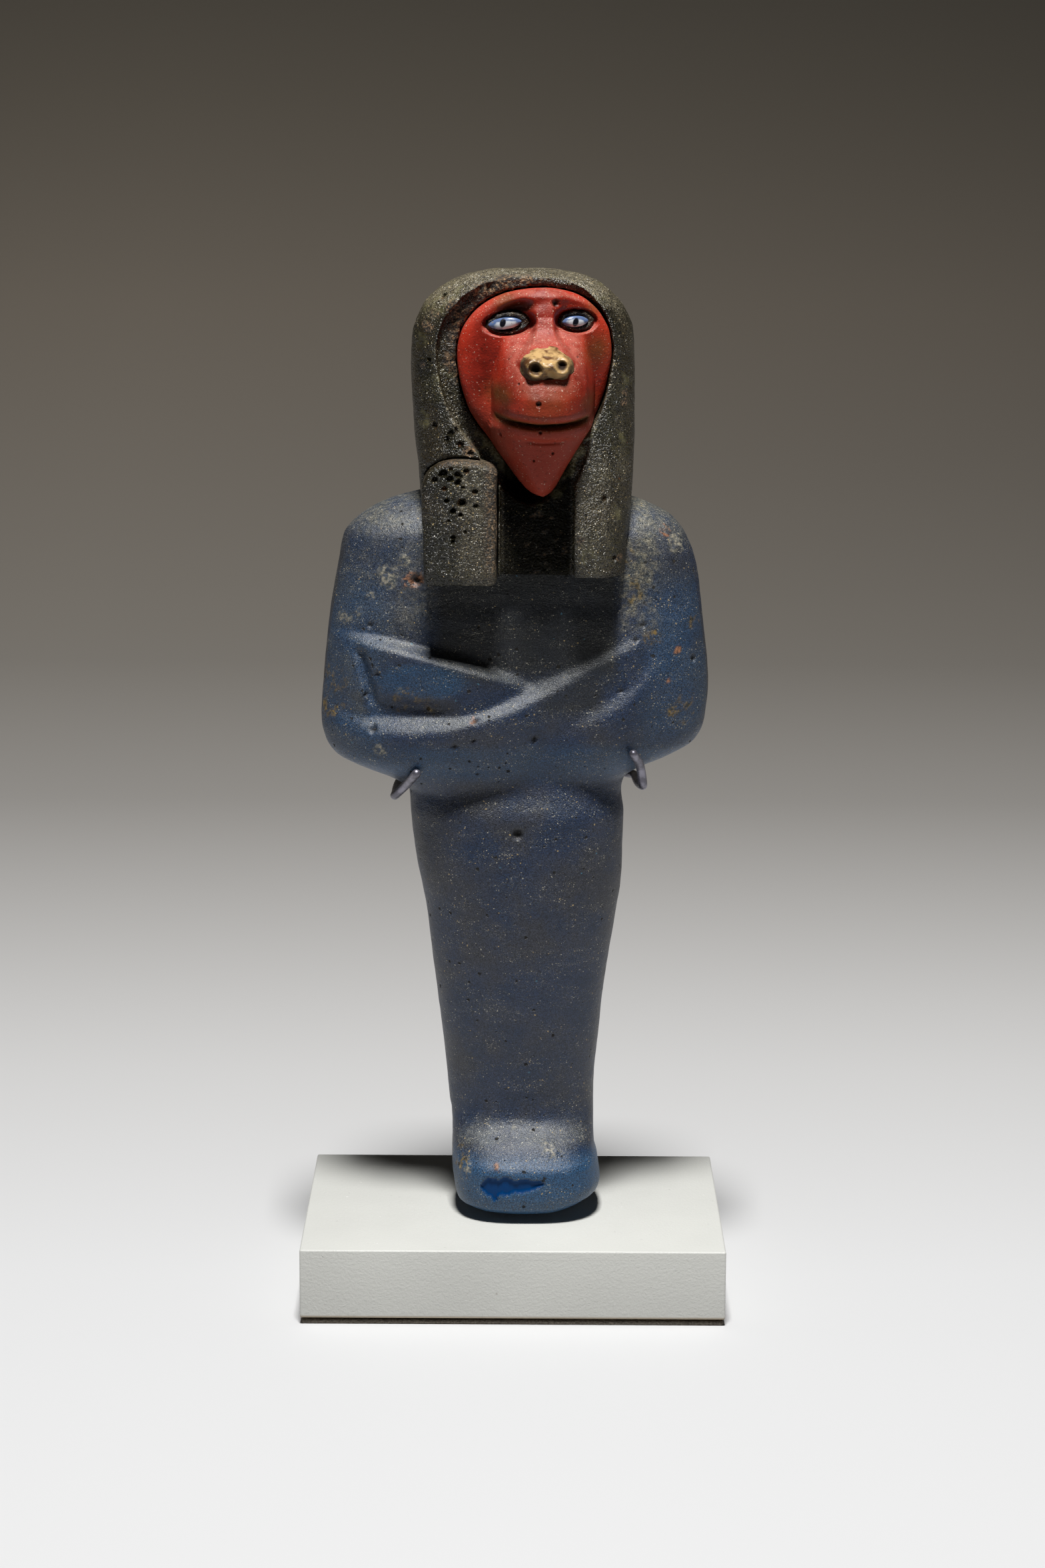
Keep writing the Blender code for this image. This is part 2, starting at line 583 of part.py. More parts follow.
def make_block():
    bottom = FELT_THICKNESS + GLUE_GAP
    mesh = bmesh.new()
    bmesh.ops.create_cube(mesh, size=1.0)
    bmesh.ops.scale(mesh, vec=(BLOCK_WIDTH, BLOCK_DEPTH, BLOCK_HEIGHT), verts=mesh.verts)
    bmesh.ops.translate(mesh, vec=(0.0, 0.0, bottom + BLOCK_HEIGHT / 2), verts=mesh.verts)
    bmesh.ops.bevel(mesh, geom=mesh.edges[:], offset=BLOCK_EDGE_BEVEL, segments=2, affect="EDGES",
                    profile=0.5)
    block_mesh = bpy.data.meshes.new("plinth_block")
    mesh.to_mesh(block_mesh)
    mesh.free()
    block = bpy.data.objects.new("plinth_block", block_mesh)
    bpy.context.scene.collection.objects.link(block)
    paint(block, (0.45, 0.45, 0.42), 0.55)
    x, y, z = post_place()
    hole = [(x, y, bottom + BLOCK_HEIGHT - POST_SET - POST_CLEARANCE), (x, y, z)]
    boolean(block, skin_rings("post_hole_cutter", tube_rings(hole, POST_RADIUS + POST_CLEARANCE, 20)))
    shade(block)


def make_felt():
    half_width = BLOCK_WIDTH / 2 - FELT_INSET
    half_depth = BLOCK_DEPTH / 2 - FELT_INSET
    corners = np.array([(-half_width, -half_depth, 0.0), (half_width, -half_depth, 0.0),
                        (half_width, half_depth, 0.0), (-half_width, half_depth, 0.0)])
    felt = skin_rings("felt_pad", [corners, corners + np.array([0.0, 0.0, FELT_THICKNESS])])
    paint(felt, (0.05, 0.04, 0.035), 0.95)


clear_scene()
make_felt()
make_block()
make_body()
make_wig()
make_lappet_end()
make_face()
make_eyes()
make_nose()
make_cradle()
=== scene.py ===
"""Glass funerary figure with a baboon's face, standing in a cradle on its painted board.

Metres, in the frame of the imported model: +Z up, the figure faces -Y, +X at the viewer's
right. Carved forms are given in modules of one eighty-fifth of the figure's height,
measured up from its sole, as a carver's grid would give them.
"""

import math

import bmesh
import bpy
import numpy as np
from mathutils import Matrix, Vector, noise


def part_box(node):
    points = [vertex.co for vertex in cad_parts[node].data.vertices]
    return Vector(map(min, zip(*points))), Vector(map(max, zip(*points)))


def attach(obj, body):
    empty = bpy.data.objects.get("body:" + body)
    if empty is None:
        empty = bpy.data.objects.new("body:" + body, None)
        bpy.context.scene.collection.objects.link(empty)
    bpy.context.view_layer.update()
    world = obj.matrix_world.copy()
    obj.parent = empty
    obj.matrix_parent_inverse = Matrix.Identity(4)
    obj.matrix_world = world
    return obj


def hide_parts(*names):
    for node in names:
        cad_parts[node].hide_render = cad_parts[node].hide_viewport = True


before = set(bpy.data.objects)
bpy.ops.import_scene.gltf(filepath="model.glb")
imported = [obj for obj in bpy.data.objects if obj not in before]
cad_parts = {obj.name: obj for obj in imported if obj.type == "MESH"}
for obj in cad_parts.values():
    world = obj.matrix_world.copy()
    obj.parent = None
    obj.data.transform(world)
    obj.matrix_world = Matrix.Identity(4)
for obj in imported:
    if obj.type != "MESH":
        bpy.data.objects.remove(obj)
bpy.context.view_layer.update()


# Camera: a long lens a little above the figure, looking down at it from the front.
# Its place and turn come from the corners of the block and the lens from its vanishing.
LENS = 81.12
CAMERA_PLACE = (0.000485, -0.314925, 0.109928)
LOOK_DOWN = math.radians(11.374)
LOOK_ASIDE = math.radians(0.028)
CAMERA_ROLL = math.radians(0.323)

forward = Vector((math.sin(LOOK_ASIDE) * math.cos(LOOK_DOWN),
                  math.cos(LOOK_ASIDE) * math.cos(LOOK_DOWN), -math.sin(LOOK_DOWN)))
level_right = Vector((math.cos(LOOK_ASIDE), -math.sin(LOOK_ASIDE), 0.0))
level_up = level_right.cross(forward)
right = math.cos(CAMERA_ROLL) * level_right + math.sin(CAMERA_ROLL) * level_up
up = -math.sin(CAMERA_ROLL) * level_right + math.cos(CAMERA_ROLL) * level_up
camera_data = bpy.data.cameras.new("camera")
camera_data.sensor_fit = "VERTICAL"
camera_data.sensor_height = 36.0
camera_data.lens = LENS
camera_data.clip_start = 0.01
camera_data.clip_end = 20.0
camera = bpy.data.objects.new("camera", camera_data)
bpy.context.scene.collection.objects.link(camera)
turn = Matrix((right, up, -forward)).transposed().to_4x4()
camera.matrix_world = Matrix.Translation(CAMERA_PLACE) @ turn
bpy.context.scene.camera = camera


# Studio: one wide soft light high over the figure and a little in front of it, and a pale paper
# sweep that runs back from the block. Its darkening as it leaves the light is painted falloff in its
# colour.
KEY_PLACE = (0.0, -0.152, 0.54)
KEY_SIZE = 0.09
KEY_POWER = 4.5
FILL_PLACE = (0.0, -0.7, 0.35)
FILL_SIZE = 0.7
FILL_POWER = 0.03
SWEEP_FRONT = -0.13
SWEEP_BEND = 0.35
SWEEP_RADIUS = 0.3
SWEEP_TOP = 1.3
SWEEP_HALF_WIDTH = 1.6
SWEEP_FADE = 1.6
SWEEP_BEND_STEPS = 16
# Painted shade on the paper towards the viewer's right: where it starts and ends across, and how dark
PAINTED_SHADE_SPAN = (-0.09, 0.13)
PAINTED_SHADE_AMOUNT = 0.27
WORLD_COLOUR = (0.9, 0.95, 1.0, 1.0)
WORLD_STRENGTH = 0.012
# Painted light falloff: the paper's colour at each distance back and up from the block
PAINTED_FALLOFF_STOPS = ((0.0, (0.59, 0.59, 0.59)), (0.07, (0.535, 0.53, 0.523)), (0.22, (0.33, 0.313, 0.292)),
               (0.38, (0.307, 0.279, 0.242)), (0.58, (0.218, 0.187, 0.149)), (0.68, (0.136, 0.117, 0.09)),
               (0.76, (0.077, 0.067, 0.051)), (1.6, (0.056, 0.048, 0.036)))


def soft_light(name, place, size, power, aim):
    data = bpy.data.lights.new(name, "AREA")
    data.shape = "SQUARE"
    data.size = size
    data.energy = power
    light = bpy.data.objects.new(name, data)
    bpy.context.scene.collection.objects.link(light)
    light.location = place
    light.rotation_euler = (Vector(aim) - Vector(place)).to_track_quat("-Z", "Y").to_euler()


def set_inputs(tree, node, values):
    """Sets a node's inputs to numbers, or links them to the outputs given."""
    for key, value in values.items():
        if isinstance(value, bpy.types.NodeSocket):
            tree.links.new(value, node.inputs[key])
        else:
            node.inputs[key].default_value = value


def add_node(tree, kind, values=None, **settings):
    made = tree.nodes.new("ShaderNode" + kind)
    for key, value in settings.items():
        setattr(made, key, value)
    set_inputs(tree, made, values or {})
    return made


def math_node(tree, operation, first, second=0.0, clamp=False):
    return add_node(tree, "Math", {0: first, 1: second}, operation=operation, use_clamp=clamp).outputs[0]


def times(tree, first, second):
    return math_node(tree, "MULTIPLY", first, second)


def mix_colour(tree, share, first, second):
    """From the first colour to the second as the share goes from 0 to 1."""
    first, second = (c if isinstance(c, bpy.types.NodeSocket) else (*c, 1.0) for c in (first, second))
    return add_node(tree, "Mix", {"Factor": share, 6: first, 7: second}, data_type="RGBA").outputs[2]


def tint(tree, shade, share, colour, strength=1.0):
    """Lays a colour over the shade, as far as the share and the strength say."""
    if strength != 1.0:
        share = times(tree, share, strength)
    return mix_colour(tree, share, shade, colour)


def scaled(tree, shade, factor):
    """A colour or a vector times a factor."""
    return add_node(tree, "VectorMath", {0: shade, "Scale": factor}, operation="SCALE").outputs[0]


def ramp(tree, value, low, high, start=0.0, end=1.0):
    """Straight-line change from start to end while the value goes from low to high."""
    return add_node(tree, "MapRange", {"Value": value, "From Min": low, "From Max": high,
                                       "To Min": start, "To Max": end}, clamp=True).outputs["Result"]


def new_material(name):
    """A material, its node tree, its shader and the place of each point on the piece."""
    material = bpy.data.materials.new(name)
    material.use_nodes = True
    tree = material.node_tree
    return material, tree, tree.nodes["Principled BSDF"], add_node(tree, "TexCoord").outputs["Object"]


def node_group(name, inputs, outputs):
    """An empty node group with the named sockets, and its input and output nodes."""
    tree = bpy.data.node_groups.new(name, "ShaderNodeTree")
    for socket in inputs:
        kind = "NodeSocketVector" if socket == "Vector" else "NodeSocketFloat"
        tree.interface.new_socket(socket, in_out="INPUT", socket_type=kind)
    for socket in outputs:
        tree.interface.new_socket(socket, in_out="OUTPUT", socket_type="NodeSocketFloat")
    return tree, tree.nodes.new("NodeGroupInput").outputs, tree.nodes.new("NodeGroupOutput").inputs


def scattered_spots():
    """Ragged spots of many sizes in a share of the cells of the given scale, 1 inside a spot."""
    tree, given, result = node_group("scattered_spots", ("Vector", "Scale", "Share", "Radius"), ("Mask",))
    stir = add_node(tree, "TexNoise", {"Vector": given["Vector"], "Scale": 5000.0, "Detail": 1.0})
    shift = add_node(tree, "VectorMath", {0: stir.outputs["Color"], 1: (0.5, 0.5, 0.5)},
                     operation="SUBTRACT")
    shift = scaled(tree, shift.outputs[0], 0.00022)
    moved = add_node(tree, "VectorMath", {0: given["Vector"], 1: shift}, operation="ADD")
    cells = add_node(tree, "TexVoronoi", {"Vector": moved.outputs[0], "Scale": given["Scale"]})
    split = add_node(tree, "SeparateColor", {0: cells.outputs["Color"]})
    chosen = math_node(tree, "LESS_THAN", split.outputs[0], given["Share"])
    reach = times(tree, given["Radius"], ramp(tree, split.outputs[1], 0.0, 1.0, 0.3, 1.0))
    inside = math_node(tree, "SUBTRACT", reach, cells.outputs["Distance"])
    mask = math_node(tree, "DIVIDE", inside, times(tree, given["Radius"], 0.25), clamp=True)
    tree.links.new(times(tree, mask, chosen), result["Mask"])
    return tree


def cast_grain():
    """Height of a cast and weathered glass skin: fine grain on low swells."""
    tree, given, result = node_group("cast_grain", ("Vector", "Scale"), ("Height",))
    fine = add_node(tree, "TexNoise", {"Vector": given["Vector"], "Scale": given["Scale"], "Detail": 2.0,
                                       "Roughness": 0.6})
    wide = add_node(tree, "TexNoise", {"Vector": given["Vector"], "Detail": 2.0,
                                       "Scale": times(tree, given["Scale"], 0.28)})
    tree.links.new(math_node(tree, "ADD", fine.outputs["Fac"], wide.outputs["Fac"]), result["Height"])
    return tree


spots_group = scattered_spots()
grain_group = cast_grain()


def spots(tree, place, scale, share, radius):
    return add_node(tree, "Group", {"Vector": place, "Scale": scale, "Share": share, "Radius": radius},
                    node_tree=spots_group).outputs["Mask"]


def grain(tree, place, scale):
    return add_node(tree, "Group", {"Vector": place, "Scale": scale},
                    node_tree=grain_group).outputs["Height"]


def bumped(tree, height, distance, strength=1.0, below=None):
    values = {"Height": height, "Distance": distance, "Strength": strength}
    if below:
        values["Normal"] = below
    return add_node(tree, "Bump", values).outputs["Normal"]


def mask_node(tree, name):
    return add_node(tree, "Attribute", attribute_name=name).outputs["Fac"]


def cloud(tree, place, scale, detail=5.0, roughness=0.6):
    return add_node(tree, "TexNoise", {"Vector": place, "Scale": scale, "Detail": detail,
                                       "Roughness": roughness}).outputs["Fac"]


def paper():
    material, tree, shader, place = new_material("pale_paper")
    split = add_node(tree, "SeparateXYZ", {0: place})
    # How far the paper has run back and up
    away = math_node(tree, "ADD", split.outputs["Y"], split.outputs["Z"])
    shade = add_node(tree, "ValToRGB", {"Fac": ramp(tree, away, 0.0, SWEEP_FADE)})
    stops = shade.color_ramp
    stops.elements[0].color = (*PAINTED_FALLOFF_STOPS[0][1], 1.0)
    stops.elements[1].position = 1.0
    stops.elements[1].color = (*PAINTED_FALLOFF_STOPS[-1][1], 1.0)
    for distance, colour in PAINTED_FALLOFF_STOPS[1:-1]:
        stop = stops.elements.new(distance / SWEEP_FADE)
        stop.color = (*colour, 1.0)
    # Painted shade: the paper darkens towards the viewer's right, more as it runs back
    painted_side_shade = ramp(tree, split.outputs["X"], *PAINTED_SHADE_SPAN, 0.0, PAINTED_SHADE_AMOUNT)
    painted_side_shade = times(tree, painted_side_shade, ramp(tree, away, 0.1, 0.5))
    shaded = tint(tree, shade.outputs["Color"], painted_side_shade, (0.0, 0.0, 0.0))
    set_inputs(tree, shader, {"Base Color": shaded, "Roughness": 0.85})
    return material


def sweep_profile():
    profile = [(SWEEP_FRONT, 0.0), (0.0, 0.0), (SWEEP_BEND, 0.0)]
    for step in range(1, SWEEP_BEND_STEPS + 1):
        angle = math.pi / 2 * step / SWEEP_BEND_STEPS
        profile.append((SWEEP_BEND + SWEEP_RADIUS * math.sin(angle), SWEEP_RADIUS * (1 - math.cos(angle))))
    profile.append((SWEEP_BEND + SWEEP_RADIUS, SWEEP_TOP))
    return profile


def make_sweep():
    points = []
    faces = []
    for y, z in sweep_profile():
        points += [(-SWEEP_HALF_WIDTH, y, z), (SWEEP_HALF_WIDTH, y, z)]
    for k in range(len(points) // 2 - 1):
        faces.append((2 * k, 2 * k + 1, 2 * k + 3, 2 * k + 2))
    mesh = bpy.data.meshes.new("paper_sweep")
    mesh.from_pydata(points, [], faces)
    mesh.shade_smooth()
    mesh.materials.append(paper())
    sweep = bpy.data.objects.new("paper_sweep", mesh)
    bpy.context.scene.collection.objects.link(sweep)


make_sweep()
soft_light("key", KEY_PLACE, KEY_SIZE, KEY_POWER, (0.0, 0.0, 0.04))
soft_light("fill", FILL_PLACE, FILL_SIZE, FILL_POWER, (0.0, 0.0, 0.05))
world = bpy.data.worlds.new("studio")
world.use_nodes = True
sky = world.node_tree.nodes["Background"]
set_inputs(world.node_tree, sky, {"Color": WORLD_COLOUR, "Strength": WORLD_STRENGTH})
bpy.context.scene.world = world
bpy.context.scene.view_settings.view_transform = "Standard"


# Body: one casting of opaque dark blue glass, arms crossed on the chest and feet forward.
# It is lofted through the carver's levels, the forearms stand out as ridges, and the
# surface is weathered, with burst bubbles and a chip on the toes.
MODULE = 0.001
SOLE_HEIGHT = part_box("figure_body")[0][2]
# The outline at each height: left, right, front and back
BODY = ((0.0, -4.4, 6.9, -6.4, 4.9), (0.5, -5.2, 7.65, -6.95, 5.7), (1.6, -5.5, 7.95, -7.2, 6.2),
        (3.5, -5.7, 7.8, -7.15, 6.5), (4.1, -5.7, 7.7, -6.95, 6.5), (4.8, -5.7, 7.5, -6.3, 6.5),
        (6.0, -5.7, 7.4, -5.15, 6.5), (6.7, -5.7, 7.4, -4.1, 6.5), (7.3, -5.75, 7.4, -3.45, 6.5),
        (8.0, -5.8, 7.4, -3.05, 6.55), (8.8, -5.95, 7.4, -2.9, 6.6), (11.3, -6.2, 7.45, -3.2, 6.8),
        (16.5, -6.75, 7.9, -4.1, 7.1), (21.6, -7.4, 8.45, -4.8, 7.3), (26.6, -8.0, 9.25, -5.3, 7.6),
        (31.7, -9.0, 9.8, -5.6, 7.8), (36.0, -9.5, 9.85, -5.5, 7.8), (38.2, -9.7, 9.6, -4.9, 7.6),
        (39.4, -11.4, 9.9, -4.6, 7.5), (40.4, -13.8, 11.4, -4.5, 7.5), (41.6, -16.4, 14.2, -4.5, 7.5),
        (42.9, -17.3, 16.3, -4.5, 7.6), (44.6, -17.65, 17.1, -4.5, 7.7), (48.0, -17.5, 17.4, -4.4, 7.9),
        (54.0, -16.9, 16.9, -4.2, 8.2), (58.8, -16.1, 16.2, -4.0, 8.4), (61.3, -15.6, 15.3, -3.7, 8.4),
        (62.9, -14.2, 14.1, -3.1, 8.2), (64.1, -12.2, 12.0, -2.1, 7.5), (65.0, -9.4, 9.2, -0.8, 6.4),
        (65.7, -5.5, 5.6, 0.7, 4.8))
SQUARENESS = ((0.0, 3.0), (6.0, 2.7), (14.0, 2.3), (34.0, 2.4), (42.0, 2.8), (60.0, 2.7), (65.7, 2.2))
CHIPPED_TOE_LIFT = 0.8
# The crossed arms: each edge's line, how far it stands out, and its fall above and below
LOWER_ARM = {"line": ((-17.0, 44.3), (-12.8, 43.6), (-7.2, 44.0), (-1.6, 45.4), (2.2, 46.9), (8.7, 50.4),
                      (11.0, 51.6)),
             "stand": ((-17.5, 0.4), (-15.5, 1.5), (-13.0, 2.3), (-6.0, 2.5), (-1.0, 2.2), (2.5, 1.35),
                       (8.0, 0.65), (10.6, 0.7), (11.8, 0.0)),
             "above": ((-16.0, 3.6), (-11.0, 3.6), (-5.0, 3.4), (1.0, 3.0), (10.0, 2.5)), "below": 7.0}
ELBOW = {"line": ((2.0, 42.6), (4.6, 43.5), (9.9, 46.1), (12.1, 48.1), (15.0, 50.5)),
         "stand": ((1.0, 0.0), (4.6, 0.9), (9.9, 1.25), (11.8, 0.8), (13.2, 0.35), (15.0, 0.0)),
         "above": ((3.0, 3.8), (12.0, 4.2)), "below": 6.0}
UPPER_ARM = {"line": ((-16.0, 52.1), (-14.5, 51.9), (-7.0, 50.4), (-0.5, 48.6), (1.5, 47.5)),
             "stand": ((-17.0, 0.2), (-15.4, 0.9), (-13.4, 1.6), (-7.0, 2.0), (-3.0, 1.7), (0.0, 0.9),
                       (3.0, 0.0)),
             "above": ((-15.0, 1.5), (-11.0, 1.7), (-3.0, 1.4), (2.0, 1.2)), "below": 14.0}
UNDER_UPPER_ARM = ((-14.0, 47.3), (-8.0, 46.9), (-3.0, 46.8))
CHIP_MIDDLE = ((-3.1, 2.6), (-0.5, 2.65), (2.8, 3.0))
CHIP_HALF_HEIGHT = ((-3.1, 0.02), (-2.3, 0.9), (-1.4, 1.05), (0.2, 0.75), (1.6, 0.5), (2.6, 0.25),
                    (2.9, 0.02))
CHIP_DEPTH = 0.00025
BODY_SIDES = 320
BODY_LEVELS = 300
FRONT_DENSITY = 0.35
# Burst bubbles and stains on the front: across, height and radius of each
BODY_HOLES = ((-13.3, 53.9, 0.24), (-12.8, 49.5, 0.26), (-13.1, 47.4, 0.24), (-12.9, 44.9, 0.34),
              (2.0, 43.7, 0.36), (-3.4, 43.7, 0.25), (-5.4, 43.1, 0.27), (10.7, 53.0, 0.24),
              (11.7, 53.9, 0.24), (16.2, 50.9, 0.3), (-3.8, 45.8, 0.25), (-9.1, 57.8, 0.55),
              (0.06, 35.5, 0.5), (9.5, 48.3, 0.22))
RUST = ((-9.1, 57.8, 0.95), (14.4, 51.5, 0.4), (-3.8, 45.6, 0.3), (13.3, 62.0, 0.45), (-1.5, 4.4, 0.35),
        (13.7, 48.9, 0.25))
CREAM = ((-11.5, 58.0, 1.0), (-15.4, 54.2, 0.6), (-14.1, 54.8, 0.35), (14.3, 61.0, 0.75),
         (-12.1, 42.8, 0.6), (-10.4, 48.2, 0.3), (-13.0, 56.2, 0.4), (-4.5, 4.2, 0.6), (0.1, 7.1, 0.35),
         (-10.0, 59.5, 0.5), (3.3, 5.7, 0.75))
OCHRE = ((-16.5, 48.4, 1.3), (-16.7, 46.1, 1.1), (14.6, 46.0, 1.2), (15.1, 47.0, 0.8),
         (15.8, 53.8, 0.5), (12.2, 53.0, 0.9), (10.6, 56.1, 0.8), (-9.8, 47.2, 1.2), (-7.5, 47.0, 0.8),
         (-5.0, 4.5, 1.1), (9.8, 60.0, 0.7), (10.4, 57.5, 0.5))


def smooth_curve(knots, at):
    """Value at each place in at, on a smooth curve through the knots that never overshoots."""
    place, value = np.array(knots, float).T
    slope = np.diff(value) / np.diff(place)
    same_way = slope[:-1] * slope[1:] > 0
    both = np.where(same_way, slope[:-1] + slope[1:], 1.0)
    inner = np.where(same_way, 2 * slope[:-1] * slope[1:] / both, 0.0)
    tangent = np.concatenate(([slope[0]], inner, [slope[-1]]))
    at = np.clip(np.asarray(at, float), place[0], place[-1])
    span = np.clip(np.searchsorted(place, at, side="right") - 1, 0, len(slope) - 1)
    width = place[span + 1] - place[span]
    t = (at - place[span]) / width
    rise = value[span + 1] - value[span]
    start = tangent[span] * width
    end = tangent[span + 1] * width
    return value[span] + t * (start + t * (3 * rise - 2 * start - end + t * (start + end - 2 * rise)))


def ease(t):
    t = np.clip(t, 0.0, 1.0)
    return t * t * (3 - 2 * t)


def figure_point(points):
    """From the figure's modules to metres on the block."""
    moved = np.asarray(points, float) * MODULE
    moved[..., 2] += SOLE_HEIGHT
    return moved


def in_modules(points):
    """How far across and up each point is, in the figure's modules."""
    return points[:, 0] / MODULE, (points[:, 2] - SOLE_HEIGHT) / MODULE


def rings_mesh(rings):
    """Points and faces of a closed skin through rings, each end filled round its middle."""
    rings = np.asarray(rings)
    count, sides = rings.shape[:2]
    points = np.concatenate([rings.reshape(-1, 3), [rings[0].mean(axis=0)], [rings[-1].mean(axis=0)]])
    here = np.arange(sides)
    after = (here + 1) % sides
    level = np.arange(count - 1)[:, None] * sides
    quads = np.stack([level + here, level + after, level + sides + after, level + sides + here], axis=-1)
    last = (count - 1) * sides
    faces = quads.reshape(-1, 4).tolist()
    faces += np.stack([np.full(sides, count * sides), after, here], axis=-1).tolist()
    faces += np.stack([np.full(sides, count * sides + 1), last + here, last + after], axis=-1).tolist()
    return points, faces


def add_piece(name, points, faces):
    mesh = bpy.data.meshes.new(name)
    mesh.from_pydata([tuple(p) for p in points], [], faces)
    outward = bmesh.new()
    outward.from_mesh(mesh)
    bmesh.ops.recalc_face_normals(outward, faces=outward.faces[:])
    outward.to_mesh(mesh)
    outward.free()
    mesh.shade_smooth()
    piece = bpy.data.objects.new(name, mesh)
    bpy.context.scene.collection.objects.link(piece)
    return piece


def read_points(piece):
    mesh = piece.data
    points = np.empty(len(mesh.vertices) * 3)
    normals = np.empty(len(mesh.vertices) * 3)
    mesh.vertices.foreach_get("co", points)
    mesh.vertices.foreach_get("normal", normals)
    return points.reshape(-1, 3), normals.reshape(-1, 3)


def write_points(piece, points):
    piece.data.vertices.foreach_set("co", points.ravel())
    piece.data.update()


def write_masks(piece, masks):
    """Stores a number from 0 to 1 at each point of the piece, for its material to read."""
    for name, values in masks.items():
        mask = piece.data.attributes.new(name, "FLOAT", "POINT")
        mask.data.foreach_set("value", np.asarray(values, np.float32))


def roughen(points, size, seed):
    """Smooth noise between -1 and 1 at each point, with bumps about size metres wide."""
    shift = Vector((seed * 7.3, seed * 3.1, seed * 5.7))
    return np.array([noise.noise(Vector(p) / size + shift) for p in points])


def wear(piece, waves, raised=0.0):
    """Makes the skin uneven by waves of (height, width, seed), and raises it by the rest."""
    points, normals = read_points(piece)
    uneven = sum(height * roughen(points, width, seed) for height, width, seed in waves) + raised
    write_points(piece, points + normals * uneven[:, None])
    return read_points(piece)


def burst_bubbles(piece, bubbles):
    """Sinks a round pit at each (x, y, z, radius, depth) and marks the pits' insides."""
    points, normals = read_points(piece)
    inside = np.zeros(len(points))
    sunk = points.copy()
    for x, y, z, radius, depth in bubbles:
        away = np.linalg.norm(points - (x, y, z), axis=1) / radius
        near = away < 1.25
        dish = np.sqrt(np.clip(1 - away[near] ** 2, 0, 1))
        sunk[near] -= normals[near] * (depth * dish)[:, None]
        inside[near] = np.maximum(inside[near], np.clip(1.25 - away[near], 0, 1) * 1.2)
    write_points(piece, sunk)
    write_masks(piece, {"pit": np.clip(inside, 0, 1)})


def on_front(points, x, z):
    """The frontmost mesh point near a place across and up."""
    away = (points[:, 0] - x) ** 2 + (points[:, 2] - z) ** 2
    near = away < (0.0004 ** 2)
    if not near.any():
        near = away <= away.min()
    return points[near][np.argmin(points[near][:, 1])]


def burst_on_front(piece, holes, depth):
    """Burst bubbles at each (across, height, radius) in modules, as deep as a share of the radius."""
    points = read_points(piece)[0]
    bubbles = []
    for across, height, radius in holes:
        place = on_front(points, across * MODULE, SOLE_HEIGHT + height * MODULE)
        bubbles.append((*place, radius * MODULE, depth * radius * MODULE))
    burst_bubbles(piece, bubbles)


def outline_at(rows, height):
    """Left, right, front and back at a height, from a table of them."""
    return (smooth_curve([(row[0], row[side]) for row in rows], height) for side in (1, 2, 3, 4))


def squared_circle(turn, power):
    """A circle of radius 1 squared off by its power, across and deep at each turn."""
    across = np.sign(np.cos(turn)) * np.abs(np.cos(turn)) ** (2 / power)
    deep = np.sign(np.sin(turn)) * np.abs(np.sin(turn)) ** (2 / power)
    return across, deep


def ridge(x, z, line, stand, above, below):
    """An arm's rounded edge: it falls away above and below the line it follows."""
    top = smooth_curve(line, x)
    share = np.clip(1 - (z - top) / smooth_curve(above, x), 0, 1)
    up = share ** 3 * (6 * share ** 2 - 15 * share + 10)
    down = 1 - np.clip((top - z) / below, 0, 1) ** 1.5
    return smooth_curve(stand, x) * np.where(z > top, up, down)


def blend_max(first, second, radius):
    """The larger of two heights, with a rounded valley between them."""
    overlap = np.clip(0.5 + 0.5 * (first - second) / radius, 0, 1)
    return second + (first - second) * overlap + radius * overlap * (1 - overlap)


def outer_edge_of_arm(x, z):
    """The crease down the upper arm's outer end, and the arm that shows outside it."""
    groove = -14.0 + 0.27 * (51.7 - z)
    crease = 0.42 * np.exp(-((x - groove) / 0.5) ** 2) * ease((52.0 - z) / 1.0) * ease((z - 46.6) / 1.0)
    outside = 0.45 * ease((groove - x) / 0.9) * ease((x + 17.0) / 2.0)
    return crease, outside * ease((52.6 - z) / 2.0) * ease((z - 44.5) / 2.5)


def arm_relief(x, z):
    """How far the crossed arms stand out from the body's plain front, in modules."""
    floor = smooth_curve(UNDER_UPPER_ARM, x)
    hollow = 0.32 * (1 - ease((z - floor + 0.4) / 1.0)) * ease((-4.0 - x) / 4.0)
    crease, outside = outer_edge_of_arm(x, z)
    upper = ridge(x, z, **UPPER_ARM) * (1 - hollow) * (1 - crease) + outside
    arms = blend_max(blend_max(ridge(x, z, **LOWER_ARM), ridge(x, z, **ELBOW), 0.5), upper, 0.4)
    return arms * (ease((z - 38.0) / 4.0) * ease((56.0 - z) / 2.0))


def body_ring(z, sides, grow=0.0):
    """One level of the body, grown outward by grow modules for what fits round it."""
    left, right, front, back = outline_at(BODY, z)
    turn = 2 * math.pi * np.arange(sides) / sides
    across, deep = squared_circle(turn - FRONT_DENSITY * np.cos(turn), smooth_curve(SQUARENESS, z))
    x = (left + right) / 2 + ((right - left) / 2 + grow) * across
    y = (front + back) / 2 + ((back - front) / 2 + grow) * deep
    y = y - np.where(deep < 0, -deep, 0) * arm_relief(x, z)
    chipped = CHIPPED_TOE_LIFT * ease((x - 2.5) / 5.5) * ease((6.0 - z) / 6.0) * ease((2.0 - y) / 6.0)
    return np.stack([x, y, z + chipped], axis=-1)


def body_levels():
    """Heights of the body's levels, closer together at both rounded ends."""
    share = np.linspace(0, 1, BODY_LEVELS)
    return BODY[-1][0] * (share - 0.12 * np.sin(2 * math.pi * share) / math.pi)


